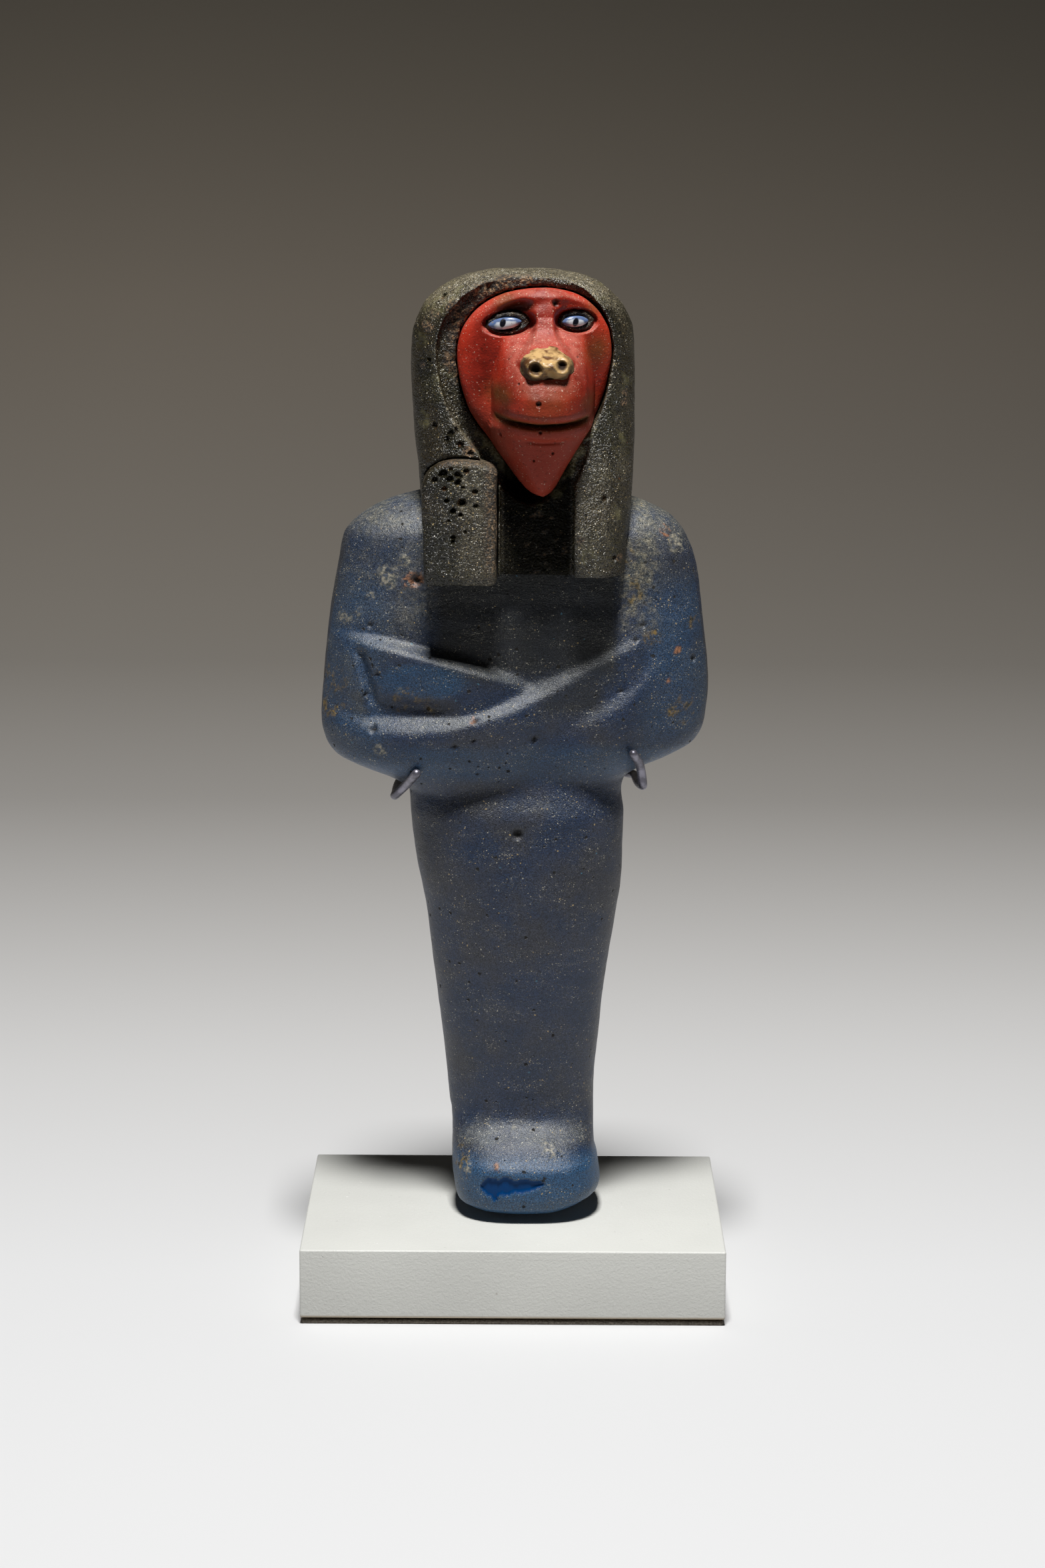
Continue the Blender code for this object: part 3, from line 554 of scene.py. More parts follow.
def blue_glass():
    material, tree, shader, place = new_material("weathered_blue_glass")
    # The glass itself, cloudy, with its films of soil, a painted shadow below the wig
    # and a pale film that is partly painted sheen
    shade = mix_colour(tree, ramp(tree, cloud(tree, place, 300.0), 0.35, 0.65), (0.011, 0.022, 0.050),
                       (0.024, 0.034, 0.064))
    shade = tint(tree, shade, ramp(tree, cloud(tree, place, 150.0), 0.47, 0.62), (0.027, 0.030, 0.041))
    # Painted shadow: on the body the soil mask darkens the chest and the arm under the wig
    shade = tint(tree, shade, mask_node(tree, "soil"), (0.018, 0.018, 0.015))
    shade = tint(tree, shade, mask_node(tree, "clean"), (0.018, 0.058, 0.122))
    # Painted sheen with pale dust: the film mask lightens what faces up
    film = mask_node(tree, "film")
    sheen_and_film = times(tree, film, ramp(tree, cloud(tree, place, 1400.0), 0.35, 0.6, 0.3, 1.0))
    shade = tint(tree, shade, sheen_and_film, (0.075, 0.083, 0.085))
    crumb = ramp(tree, cloud(tree, place, 3200.0, 3.0), 0.4, 0.62)
    tan = mix_colour(tree, crumb, (0.05, 0.055, 0.05), (0.27, 0.24, 0.16))
    shade = tint(tree, shade, mask_node(tree, "tan"), tan)
    shade = scaled(tree, shade, ramp(tree, cloud(tree, place, 9500.0, 1.0), 0.36, 0.64, 0.45, 1.7))
    # Grit in drifts and clumps
    banded = add_node(tree, "Mapping", {"Vector": place, "Scale": (0.5, 1.0, 1.6)}).outputs[0]
    drift = ramp(tree, cloud(tree, banded, 420.0, 5.0, 0.7), 0.42, 0.66)
    clumped = ramp(tree, cloud(tree, banded, 1500.0, 4.0, 0.7), 0.4, 0.62, 0.35, 1.7)
    thick = times(tree, math_node(tree, "ADD", drift, film), clumped)
    for scale, share, radius, colour, strength in (
            (15000.0, times(tree, thick, 0.45), 0.6, (0.26, 0.25, 0.20), 0.6),
            (8500.0, times(tree, thick, 0.18), 0.5, (0.48, 0.45, 0.36), 0.85),
            (4200.0, times(tree, drift, 0.1), 0.4, (0.42, 0.31, 0.15), 0.8),
            (1500.0, 0.05, 0.17, (0.05, 0.14, 0.2), 1.0)):
        shade = tint(tree, shade, spots(tree, place, scale, share, radius), colour, strength)
    # Burst bubbles darkened with painted shade, stains and the chip
    pit = math_node(tree, "MAXIMUM", spots(tree, place, 1150.0, 0.34, 0.23), mask_node(tree, "pit"))
    shade = tint(tree, shade, pit, (0.010, 0.008, 0.005), 0.9)
    broken = ramp(tree, cloud(tree, place, 1700.0, 4.0), 0.44, 0.54, 0.1, 1.0)
    for stain, dark, light in (("rust", (0.035, 0.015, 0.009), (0.36, 0.17, 0.09)),
                               ("cream", (0.06, 0.07, 0.07), (0.38, 0.34, 0.25)),
                               ("ochre", (0.03, 0.025, 0.012), (0.26, 0.17, 0.05))):
        colour = mix_colour(tree, crumb, dark, light)
        shade = tint(tree, shade, times(tree, mask_node(tree, stain), broken), colour)
    chip = mask_node(tree, "chip")
    shade = tint(tree, shade, chip, (0.001, 0.035, 0.13))
    height = math_node(tree, "SUBTRACT", grain(tree, place, 8500.0), times(tree, pit, 2.5))
    rough = math_node(tree, "MAXIMUM", ramp(tree, chip, 0.0, 1.0, 0.44, 0.3), times(tree, pit, 0.95))
    strength = ramp(tree, chip, 0.0, 1.0, 1.0, 0.08)
    set_inputs(tree, shader, {"Base Color": shade, "Roughness": rough,
                              "Specular IOR Level": ramp(tree, chip, 0.0, 1.0, 0.5, 0.12),
                              "Normal": bumped(tree, height, 0.00005, strength)})
    return material


def patches(points, marks, seed):
    """Ragged stains on the front: 1 inside each (across, height, radius), in modules."""
    ragged = roughen(points, 0.0007, seed) + 0.6 * roughen(points, 0.0003, seed + 50)
    stain = np.zeros(len(points))
    for across, height, radius in marks:
        away = np.hypot(points[:, 0] - across * MODULE, points[:, 2] - SOLE_HEIGHT - height * MODULE)
        stain = np.maximum(stain, ease((1.15 - away / (radius * MODULE) + 0.55 * ragged) / 0.4))
    return stain * (points[:, 1] < 0.002)


def chip_on_toes(points):
    """1 inside the chip across the toes, with a torn outline."""
    across, up = in_modules(points)
    tall = smooth_curve(CHIP_HALF_HEIGHT, across)
    torn = 0.35 * roughen(points, 0.0009, 13) + 0.2 * roughen(points, 0.0003, 31)
    inside = tall - np.abs(up - smooth_curve(CHIP_MIDDLE, across)) + torn * tall
    return ease(inside / 0.2) * (points[:, 1] < -0.004)


def outer_arms(across, up, front):
    """1 on the outer sides of both upper arms."""
    return ease((np.abs(across) - 10.0) / 3.0) * ease((up - 40.0) / 4.0) * front


def dust_and_sheen_on_body(across, up, front, lean, cloudy):
    """Pale dust and painted sheen on what faces up, with painted highlight on the outer arm's strip and
    high on the shoulders.
    """
    film = ease((lean - 0.1) / 0.7) * (0.2 + 0.7 * cloudy) * (0.2 + 0.8 * ease((up - 5.3) / 0.9))
    strip = np.exp(-((across + 15.2 - 0.24 * (51.5 - up)) / 0.8) ** 2) * ease((52.0 - up) / 1.5)
    film = np.maximum(film, 0.5 * strip * ease((up - 44.0) / 1.5) * front)
    bloom = ease((across + 6.0) / -3.0) * ease((up - 50.0) / 5.0) * 0.25
    bloom = bloom + outer_arms(across, up, front) * 0.12
    return np.maximum(film, bloom * (0.3 + cloudy))


def shadow_and_soil_on_body(across, up, front, faces_front, cloudy):
    """Painted shadow with dark soil, on the chest below the wig and on the arm beside it, where the wig's
    shadow falls.
    """
    chest = ease((8.6 - np.abs(across - 1.0)) / 1.2) * ease((up - 47.5) / 3.0) * faces_front
    on_arm = ease((8.6 - across) / 1.5) * ease((across - 1.0) / 2.0) * ease((up - 45.0) / 2.0)
    return np.maximum(chest, 0.8 * on_arm * front) * (0.65 + 0.3 * cloudy)


def tan_on_body(across, up, speckled):
    """Tan soil on both sides of the wig and along the shoulders."""
    from_middle = np.abs(across - 1.0)
    by_wig = ease((12.6 - from_middle) / 2.0) * ease((from_middle - 7.8) / 0.8)
    by_wig = by_wig * ease((up - 51.0) / 5.0) * np.where(across > 0, 0.6, 0.25)
    return np.maximum(by_wig, ease((up - 60.5) / 3.0) * 0.4) * ease(speckled)


def clean_glass(across, up, front, cloudy):
    """Where the blue shows best: outer arms, the upper arm's panel, under the arms, the toes."""
    outer = outer_arms(across, up, front) * ease((60.0 - up) / 5.0)
    panel = ease((1.0 - np.hypot((across + 8.5) / 5.0, (up - 49.0) / 1.9)) / 0.4)
    under_arms = 0.8 * ease((43.8 - up) / 1.5) * ease((up - 39.0) / 2.0)
    fresh = np.maximum(np.maximum(0.6 * outer, panel), under_arms) * (0.35 + 0.65 * cloudy)
    toes = ease((6.0 - up) / 2.0) * (0.8 + 0.3 * cloudy)
    return np.clip(np.maximum(fresh, toes), 0, 1)


def make_body():
    rings = [figure_point(body_ring(z, BODY_SIDES)) for z in body_levels()]
    body = add_piece("glass_body", *rings_mesh(rings))
    plain = read_points(body)[0]
    crust = patches(plain, RUST + CREAM, 12) * 0.00012 * (0.3 + roughen(plain, 0.0004, 14))
    nicked = chip_on_toes(plain)
    points, normals = wear(body, ((0.00009, 0.005, 1), (0.000025, 0.0011, 2)), crust - nicked * CHIP_DEPTH)
    cloudy = 0.5 + 0.5 * roughen(points, 0.003, 15)
    speckled = 0.35 + 0.6 * cloudy + 0.8 * roughen(points, 0.0007, 32)
    across, up = in_modules(plain)
    front = points[:, 1] < 0
    # The film mask is pale dust and painted sheen on what faces up
    write_masks(body, {"film": dust_and_sheen_on_body(across, up, front, normals[:, 2], cloudy),
                       # The soil mask is painted shadow under the wig, with dark soil
                       "soil": shadow_and_soil_on_body(across, up, front, normals[:, 1] < 0, cloudy),
                       "tan": tan_on_body(across, up, speckled),
                       "clean": clean_glass(across, up, front, cloudy),
                       "rust": patches(points, RUST, 16), "cream": patches(points, CREAM, 17) * 0.75,
                       "ochre": patches(points, OCHRE, 18) * ease(0.4 + roughen(points, 0.0009, 19)),
                       "chip": ease(nicked / 0.3)})
    burst_on_front(body, BODY_HOLES, 0.7)
    body.data.materials.append(blue_glass())
    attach(body, "root")
    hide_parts("figure_body")


make_body()


# Wig: black glass, cast with its lappets and back panel to sit astride the shoulders. It
# is lofted, cut for the shoulders, the face, the throat and the broken lappet end, and
# then melted over a fine grid so that its edges are as soft as worn glass.
SEAT_GAP = 0.3
WIG = ((57.9, -7.6, 9.7, -7.4, 9.7), (58.7, -7.9, 9.8, -7.7, 10.0), (62.0, -8.3, 10.0, -7.7, 10.2),
       (66.5, -8.7, 10.3, -6.9, 10.4), (71.0, -9.2, 10.5, -5.9, 10.5), (76.0, -9.5, 10.5, -5.2, 10.4),
       (79.3, -9.4, 10.3, -5.1, 10.1), (81.6, -8.6, 9.5, -5.0, 9.5), (83.0, -7.4, 8.4, -4.6, 8.6),
       (84.0, -5.9, 7.1, -3.7, 7.4), (84.6, -4.4, 5.6, -2.4, 6.2), (85.0, -2.2, 3.0, -0.6, 4.4))
WIG_SQUARENESS = ((57.9, 4.2), (72.0, 3.4), (85.0, 2.3))
WIG_SPAN = (58.6, 85.0)
WIG_SIDES = 120
WIG_LEVELS = 60
WIG_GRID = 0.00019
MELT_ROUNDS = 3
WIG_HOLES = ((-7.6, 71.8, 0.24), (-6.1, 71.3, 0.22), (-5.2, 71.8, 0.25), (-5.3, 70.3, 0.24),
             (-6.5, 70.6, 0.24), (-4.3, 69.6, 0.22), (-6.9, 83.0, 0.3), (9.0, 60.2, 0.22),
             (-8.2, 77.2, 0.22), (7.9, 65.8, 0.2))
WIG_RUST = ((-8.0, 80.2, 0.5), (-7.3, 81.2, 0.45), (-5.9, 82.0, 0.6), (-2.2, 83.4, 0.5),
            (9.4, 73.6, 0.3), (9.5, 74.5, 0.25), (-8.3, 76.8, 0.25), (9.0, 60.2, 0.35),
            (5.6, 62.0, 0.25), (-4.2, 69.6, 0.5))
WIG_STAINS = ((-7.3, 82.2, 1.3), (-5.6, 83.4, 0.9), (-8.6, 79.0, 0.7), (-6.4, 75.5, 0.9),
              (-8.3, 72.0, 0.8), (8.8, 70.5, 0.9), (9.4, 75.5, 0.7), (6.3, 60.5, 0.7), (7.0, 83.0, 0.8),
              (8.6, 64.0, 0.8))
THROAT_SIDES = (-1.45, 5.0)
THROAT = ((THROAT_SIDES[0], 50.0), (THROAT_SIDES[0], 67.0), (-3.4, 70.2), (-4.3, 72.5), (-4.9, 77.0),
          (7.6, 77.0), (7.2, 73.0), (6.3, 69.5), (THROAT_SIDES[1], 66.5), (THROAT_SIDES[1], 50.0))
THROAT_FRONT = -5.4
LAPPET_END = (-8.35, -1.75, 57.9, 68.9)
LAPPET_END_FRONT = -8.3
LAPPET_END_BACK = -3.4
LAPPET_ARCH = 1.2
LAPPET_ARCH_LEFT = 2.6
LAPPET_FOOT_SHARE = 0.92
FACE_OUTLINE = ((0.0, 0.0), (0.11, 3.2), (0.165, 4.45), (0.235, 5.7), (0.305, 6.5), (0.377, 6.8),
                (0.45, 6.55), (0.54, 5.85), (0.6, 5.0), (0.645, 4.1), (0.715, 3.0), (0.79, 2.05),
                (0.9, 0.95), (1.0, 0.0))
FACE_TOP = 83.6
FACE_CHIN = 65.6
FACE_PLACE = (2.2, -3.0)
FACE_TURN = math.radians(2.5)
FACE_LEAN = -0.8
FACE_BACK = 2.2


def wig_ring(z, sides):
    left, right, front, back = outline_at(WIG, z)
    across, deep = squared_circle(2 * math.pi * np.arange(sides) / sides, smooth_curve(WIG_SQUARENESS, z))
    x = (left + right) / 2 + (right - left) / 2 * across
    y = (front + back) / 2 + (back - front) / 2 * deep
    return np.stack([x, y, np.full(sides, z)], axis=-1)


def face_outline(sides, grow=0.0):
    """The face's outline across and up, in modules, grown outward by grow."""
    turn = 2 * np.arange(sides) / sides
    down = np.where(turn <= 1, turn, 2 - turn)
    side = np.where(turn <= 1, 1.0, -1.0)
    height = FACE_TOP + (FACE_CHIN - FACE_TOP) * (1 - np.cos(math.pi * down)) / 2
    across = side * smooth_curve(FACE_OUTLINE, down) + FACE_LEAN * np.sin(math.pi * down)
    outline = np.stack([across, height], axis=-1)
    along = np.roll(outline, -1, axis=0) - np.roll(outline, 1, axis=0)
    outward = np.stack([-along[:, 1], along[:, 0]], axis=-1)
    outward /= np.linalg.norm(outward, axis=1, keepdims=True)
    return outline + grow * outward


def face_point(across, forward, height):
    """From the face's own plane to metres: it is turned a little to the viewer's right."""
    x = FACE_PLACE[0] + across * math.cos(FACE_TURN) + forward * math.sin(FACE_TURN)
    y = FACE_PLACE[1] + across * math.sin(FACE_TURN) - forward * math.cos(FACE_TURN)
    return figure_point(np.stack(np.broadcast_arrays(x, y, height), axis=-1))


def face_prism(name, outline, near, far):
    """Prism of an outline in the face's plane, from near to far modules forward."""
    return add_piece(name, *rings_mesh([face_point(outline[:, 0], forward, outline[:, 1])
                                        for forward in (near, far)]))


def front_prism(name, outline, front, back):
    """Prism of an outline across and up, between two depths."""
    outline = np.asarray(outline, float)
    rings = []
    for y in (front, back):
        ring = np.stack([outline[:, 0], np.full(len(outline), y), outline[:, 1]], axis=-1)
        rings.append(figure_point(ring))
    return add_piece(name, *rings_mesh(rings))


def body_room(name):
    """The body grown by the seat's gap, which cuts the seat of what sits on the shoulders."""
    levels = np.linspace(50.0, BODY[-1][0], 40)
    rings = [figure_point(body_ring(z, 90, SEAT_GAP)) for z in levels]
    rings.append(rings[-1] + np.array([0.0, 0.0, SEAT_GAP * MODULE]))
    return add_piece(name, *rings_mesh(rings))


def lappet_outline(grow, foot):
    """The broken lappet end's outline, with its arched top, grown by grow modules."""
    left, right, _, top = LAPPET_END
    middle = (left + right) / 2
    half = (right - left) / 2 + grow
    arch = []
    for a in np.linspace(0, math.pi, 41):
        drop = LAPPET_ARCH if math.cos(a) > 0 else LAPPET_ARCH_LEFT
        arch.append((middle + half * math.cos(a), top - drop + (drop + grow) * math.sin(a)))
    return arch + [(middle - half * LAPPET_FOOT_SHARE, foot), (middle + half, foot)]


def cut_away(piece, cutters):
    for cutter in cutters:
        cut = piece.modifiers.new("Cut", "BOOLEAN")
        cut.object = cutter
        cut.solver = "EXACT"


def melt(piece, grid, rounds):
    """Remakes the piece's surface over an even grid, rounds its edges and drops its cutters."""
    even = piece.modifiers.new("Even", "REMESH")
    even.mode = "VOXEL"
    even.voxel_size = grid
    soften = piece.modifiers.new("Soften", "SMOOTH")
    soften.factor = 0.5
    soften.iterations = rounds
    cutters = [m.object for m in piece.modifiers if m.type == "BOOLEAN"]
    made = bpy.data.meshes.new_from_object(piece.evaluated_get(bpy.context.evaluated_depsgraph_get()))
    piece.modifiers.clear()
    piece.data = made
    made.shade_smooth()
    for cutter in cutters:
        bpy.data.objects.remove(cutter, do_unlink=True)


def black_glass():
    material, tree, shader, place = new_material("pitted_black_glass")
    # The glass itself, with its brown film and a pale film that carries painted sheen
    patchy = ramp(tree, cloud(tree, place, 700.0), 0.3, 0.6, 0.4, 1.0)
    sheen_and_film = times(tree, mask_node(tree, "sheen_and_film"), patchy)
    shade = mix_colour(tree, ramp(tree, cloud(tree, place, 420.0), 0.35, 0.65), (0.004, 0.0036, 0.002),
                       (0.020, 0.0175, 0.007))
    brown = ramp(tree, cloud(tree, place, 220.0), 0.45, 0.6, 0.0, 0.8)
    shade = tint(tree, shade, brown, (0.024, 0.018, 0.009))
    # Painted sheen with a pale film on the lit parts of the wig
    shade = tint(tree, shade, sheen_and_film, (0.115, 0.099, 0.066))
    shade = scaled(tree, shade, ramp(tree, cloud(tree, place, 8000.0, 1.0), 0.36, 0.64, 0.2, 2.0))
    # Grit in drifts, and painted glints among it: bright specks in the colour
    drift = ramp(tree, cloud(tree, place, 500.0, 5.0, 0.7), 0.42, 0.66, 0.0, 0.6)
    clumped = ramp(tree, cloud(tree, place, 1500.0, 4.0, 0.7), 0.42, 0.62, 0.05, 1.0)
    share = times(tree, times(tree, math_node(tree, "ADD", drift, sheen_and_film), clumped), 0.6)
    for scale, amount, radius, colour, strength in (
            (8500.0, share, 0.5, (0.46, 0.40, 0.27), 0.8),
            (5200.0, share, 0.4, (0.50, 0.37, 0.18), 0.85),
            (6400.0, times(tree, share, 0.5), 0.4, (0.90, 0.84, 0.70), 1.0)):
        shade = tint(tree, shade, spots(tree, place, scale, amount, radius), colour, strength)
    # Burst bubbles darkened with painted shade and brown soil, packed soil, old glue, and painted shade in
    # the throat
    pit = math_node(tree, "MAXIMUM", spots(tree, place, 1250.0, 0.3, 0.2), mask_node(tree, "pit"))
    inside = mix_colour(tree, spots(tree, place, 700.0, 0.45, 0.8), (0.006, 0.005, 0.003),
                        (0.12, 0.055, 0.025))
    crumbs = ramp(tree, cloud(tree, place, 3600.0, 4.0, 0.7), 0.48, 0.66)
    soil = mix_colour(tree, crumbs, (0.012, 0.007, 0.003), (0.36, 0.22, 0.11))
    crumb = ramp(tree, cloud(tree, place, 3600.0, 3.0), 0.38, 0.62)
    glue = mix_colour(tree, crumb, (0.09, 0.08, 0.03), (0.2, 0.18, 0.09))
    soiled, sunk = mask_node(tree, "soil"), mask_node(tree, "depth")
    for share, colour in ((pit, inside), (soiled, soil), (mask_node(tree, "glue"), glue)):
        shade = tint(tree, shade, share, colour)
    # Painted shade: the throat under the chin is darkened and dulled
    shade = scaled(tree, shade, ramp(tree, sunk, 0.0, 1.0, 1.0, 0.3))
    height = math_node(tree, "SUBTRACT", grain(tree, place, 5200.0), times(tree, pit, 3.0))
    set_inputs(tree, shader, {"Base Color": shade, "Roughness": ramp(tree, soiled, 0.0, 1.0, 0.25, 0.8),
                              "Specular IOR Level": ramp(tree, sunk, 0.0, 1.0, 0.55, 0.08),
                              "Normal": bumped(tree, height, 0.0002)})
    return material


black = black_glass()


def inlay_dirt(points):
    """Soil packed round the face, most at its upper left, and old glue beside the chin."""
    dx = points[:, 0] / MODULE - FACE_PLACE[0]
    dy = points[:, 1] / MODULE - FACE_PLACE[1]
    across = dx * math.cos(FACE_TURN) + dy * math.sin(FACE_TURN)
    forward = dx * math.sin(FACE_TURN) - dy * math.cos(FACE_TURN)
    height = in_modules(points)[1]
    away = np.full(len(points), 9.0)
    for u, z in face_outline(90):
        away = np.minimum(away, np.hypot(across - u, height - z))
    ragged = roughen(points, 0.0009, 22) + 0.5 * roughen(points, 0.0003, 23)
    upper_left = ease((1.0 - across) / 5.0) * ease((height - 74.0) / 3.0)
    reach = 0.05 + 1.4 * upper_left + 0.5 * ease((height - 82.5) / 0.8) * ease((2.5 - across) / 2.0)
    soil = ease((reach - away + 0.6 * ragged) / 0.5) * (forward > -1.5) * ease((height - 71.0) / 3.0)
    soil = soil * ease(0.75 + 1.1 * roughen(points, 0.0016, 25))
    near_chin = ease((height - 64.0) / 0.8) * ease((72.0 - height) / 2.0)
    glue = ease((0.75 - away + 0.8 * ragged) / 0.3) * near_chin * (forward > -2.0)
    return soil, glue


def sheen_and_film_on_wig(points, normals):
    """Painted sheen with a pale film: on the right lappet, below the cheek, on the crown and down the right
    side.
    """
    across, up = in_modules(points)
    cloudy = 0.5 + 0.5 * roughen(points, 0.0025, 26)
    right_lappet = ease((across - 4.9) / 0.6) * ease((72.0 - up) / 4.0) * ease((9.0 - across) / 1.4)
    below_cheek = ease((1.2 - np.abs(across + 5.6 - 0.35 * (73.5 - up))) / 1.0) * ease((79.0 - up) / 3.0)
    crown = ease((normals[:, 2] - 0.25) / 0.5)
    lit = np.maximum(np.maximum(0.85 * right_lappet, 0.5 * below_cheek), 2.3 * crown) * (0.1 + 0.9 * cloudy)
    return np.maximum(lit, 0.6 * ease((across - 7.0) / 1.5) * cloudy ** 2)


def shaded_throat_of_wig(points):
    """1 in the sunk panel under the chin, where painted shade darkens it, and the pale flecks in it."""
    across, up = in_modules(points)
    left, right = THROAT_SIDES
    throat = ease((across - left - 0.1) / 0.3) * ease((right - across) / 0.4) * ease((72.0 - up) / 3.0)
    throat = throat * ease((points[:, 1] / MODULE + 7.3) / 0.8) * (points[:, 1] < 0)
    flecked = roughen(points, 0.0006, 36) + 0.5 * roughen(points, 0.0002, 37)
    return throat, throat * ease((flecked - 0.45) / 0.2) * 0.7


def make_wig():
    rings = [figure_point(wig_ring(z, WIG_SIDES)) for z in np.linspace(*WIG_SPAN, WIG_LEVELS)]
    wig = add_piece("glass_wig", *rings_mesh(rings))
    worn_gap = face_outline(80, 0.95) + np.array([-0.85, 0.15])
    lappet_seat = lappet_outline(0.12, 50.0)
    cut_away(wig, [body_room("wig_seat"),
                   face_prism("face_seat", face_outline(120, 0.15), -FACE_BACK - SEAT_GAP, 30.0),
                   face_prism("worn_gap", worn_gap, -0.4, 30.0),
                   front_prism("throat", THROAT, -30.0, THROAT_FRONT),
                   front_prism("lappet_end_seat", lappet_seat, -30.0, LAPPET_END_BACK + SEAT_GAP)])
    melt(wig, WIG_GRID, MELT_ROUNDS)
    plain = read_points(wig)[0]
    soil, glue = inlay_dirt(plain)
    caked = soil * 0.00018 * roughen(plain, 0.0005, 20) + glue * 0.00015
    points, normals = wear(wig, ((0.0001, 0.003, 3), (0.00004, 0.0007, 4)), caked)
    throat, flecks = shaded_throat_of_wig(points)
    stains = patches(points, WIG_STAINS, 34) * ease(0.3 + 1.2 * roughen(points, 0.0008, 35)) * 0.55
    write_masks(wig, {"sheen_and_film": sheen_and_film_on_wig(points, normals), "glue": np.maximum(glue, stains),
                      "soil": np.maximum(np.maximum(soil, flecks), patches(points, WIG_RUST, 21)),
                      "depth": throat * (1 - 0.6 * flecks)})
    burst_on_front(wig, WIG_HOLES, 0.8)
    wig.data.materials.append(black)
    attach(wig, "root")
    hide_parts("wig")


make_wig()


# Lappet end: the lower end of the lappet at the viewer's left, broken off long ago and
# stuck back a little proud of its old place. Black glass, with an arched break at its top.
LAPPET_GRID = 0.000095
LAPPET_HOLES = ((-6.7, 67.6, 0.31), (-5.0, 68.1, 0.25), (-4.6, 68.4, 0.23), (-5.5, 67.4, 0.28),
                (-4.8, 67.4, 0.2), (-5.3, 66.8, 0.22), (-3.8, 66.6, 0.23), (-6.5, 66.2, 0.2),
                (-4.9, 65.5, 0.36), (-3.8, 65.3, 0.2), (-5.8, 64.9, 0.2), (-5.4, 64.6, 0.24),
                (-4.5, 64.2, 0.19), (-5.8, 65.7, 0.2), (-7.5, 67.1, 0.22), (-5.4, 62.6, 0.2),
                (-4.4, 66.8, 0.14), (-4.6, 67.8, 0.14), (-7.0, 67.8, 0.2), (-4.5, 63.1, 0.12),
                (-5.8, 61.6, 0.15), (-6.2, 65.1, 0.13), (-5.5, 68.5, 0.14), (-4.7, 65.2, 0.16),
                (-6.0, 63.6, 0.13))


def make_lappet_end():
    outline = lappet_outline(0.0, LAPPET_END[2])
    end = front_prism("glass_lappet_end", outline, LAPPET_END_FRONT, LAPPET_END_BACK)
    rounding = end.modifiers.new("Rounding", "BEVEL")
    rounding.width = 0.0006
    rounding.segments = 4
    rounding.limit_method = "ANGLE"
    rounding.angle_limit = math.radians(50)
    cut_away(end, [body_room("lappet_end_seat_on_body")])
    melt(end, LAPPET_GRID, MELT_ROUNDS)
    points = wear(end, ((0.00008, 0.0025, 5), (0.00003, 0.0006, 6)))[0]
    across, up = in_modules(points)
    ragged = 0.5 + 0.5 * roughen(points, 0.0006, 24)
    blotchy = 0.5 + 0.5 * roughen(points, 0.0018, 33)
    right_edge = ease((across + 3.1) / 0.7) * ease((up - 57.0) / 5.0)
    top_edge = ease((up - 68.2) / 0.6)
    # Painted sheen with a pale film, strongest over the end's right part
    sheen_and_film_on_end = (0.05 + ease((across + 5.6) / 1.3)) * (0.15 + 0.85 * blotchy) * (0.4 + 0.6 * ragged)
    bare = np.zeros(len(points))
    write_masks(end, {"soil": np.maximum(right_edge, 0.7 * top_edge) * (0.35 + 0.65 * ragged),
                      "sheen_and_film": sheen_and_film_on_end, "glue": bare, "depth": bare})
    burst_on_front(end, LAPPET_HOLES, 0.9)
    end.data.materials.append(black)
    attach(end, "root")
    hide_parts("wig_lappet_end")


make_lappet_end()


# Face: a baboon's, cast in opaque red glass and inlaid in the wig. It is carved forward
# of a flat outline: a long muzzle under a low brow, a thin mouth and a pointed chin.
MUZZLE_FORWARD = ((65.6, 3.2), (65.9, 4.2), (66.6, 4.9), (68.0, 5.6), (69.6, 6.2), (70.6, 6.65),
                  (71.3, 7.3), (71.9, 7.5), (72.2, 7.4), (72.6, 8.5), (73.2, 8.9), (74.2, 8.85),
                  (75.2, 8.5), (76.2, 7.9), (77.0, 7.3), (77.7, 6.5), (78.4, 5.3), (79.0, 4.1),
                  (79.6, 3.1), (80.2, 2.5), (81.0, 2.2), (83.6, 1.0))
MUZZLE_HALF_WIDTH = ((65.6, 1.7), (66.4, 2.3), (68.0, 3.3), (70.0, 4.4), (71.5, 4.8), (72.6, 4.5),
                     (75.0, 4.55), (77.0, 4.25), (78.0, 4.0), (79.0, 3.8), (80.0, 3.6), (83.6, 3.6))
NOSE_RIDGE = ((75.8, 0.0), (76.3, 0.15), (76.9, 0.8), (77.5, 1.4), (78.2, 1.5), (79.0, 1.35),
              (80.0, 1.3), (81.0, 1.2), (82.0, 0.9), (83.0, 0.4), (83.6, 0.0))
NOSE_RIDGE_WIDTH = ((75.7, 1.3), (76.6, 2.1), (77.7, 2.6), (78.5, 2.25), (79.3, 1.65), (80.2, 1.2),
                    (81.2, 1.1), (82.4, 1.3), (83.6, 1.8))
EYES = {"left": (-3.1, 80.62, 2.1, 1.02, 0.09), "right": (2.87, 80.86, 1.72, 1.0, -0.03)}
NOSE = (0.02, 77.5, 2.3, 1.4)
BROW_HOLLOWS = ((-2.5, 82.25, 1.4, 0.5, 0.8), (3.4, 82.6, 1.1, 0.4, 0.08))
FACE_HOLES = ((-0.66, 74.59, 0.26), (1.3, 82.47, 0.38), (-4.26, 71.14, 0.22), (-0.43, 71.28, 0.17),
              (3.1, 78.2, 0.12), (-2.6, 76.1, 0.12), (-3.5, 78.0, 0.1), (0.9, 69.4, 0.14),
              (-1.1, 68.7, 0.12))
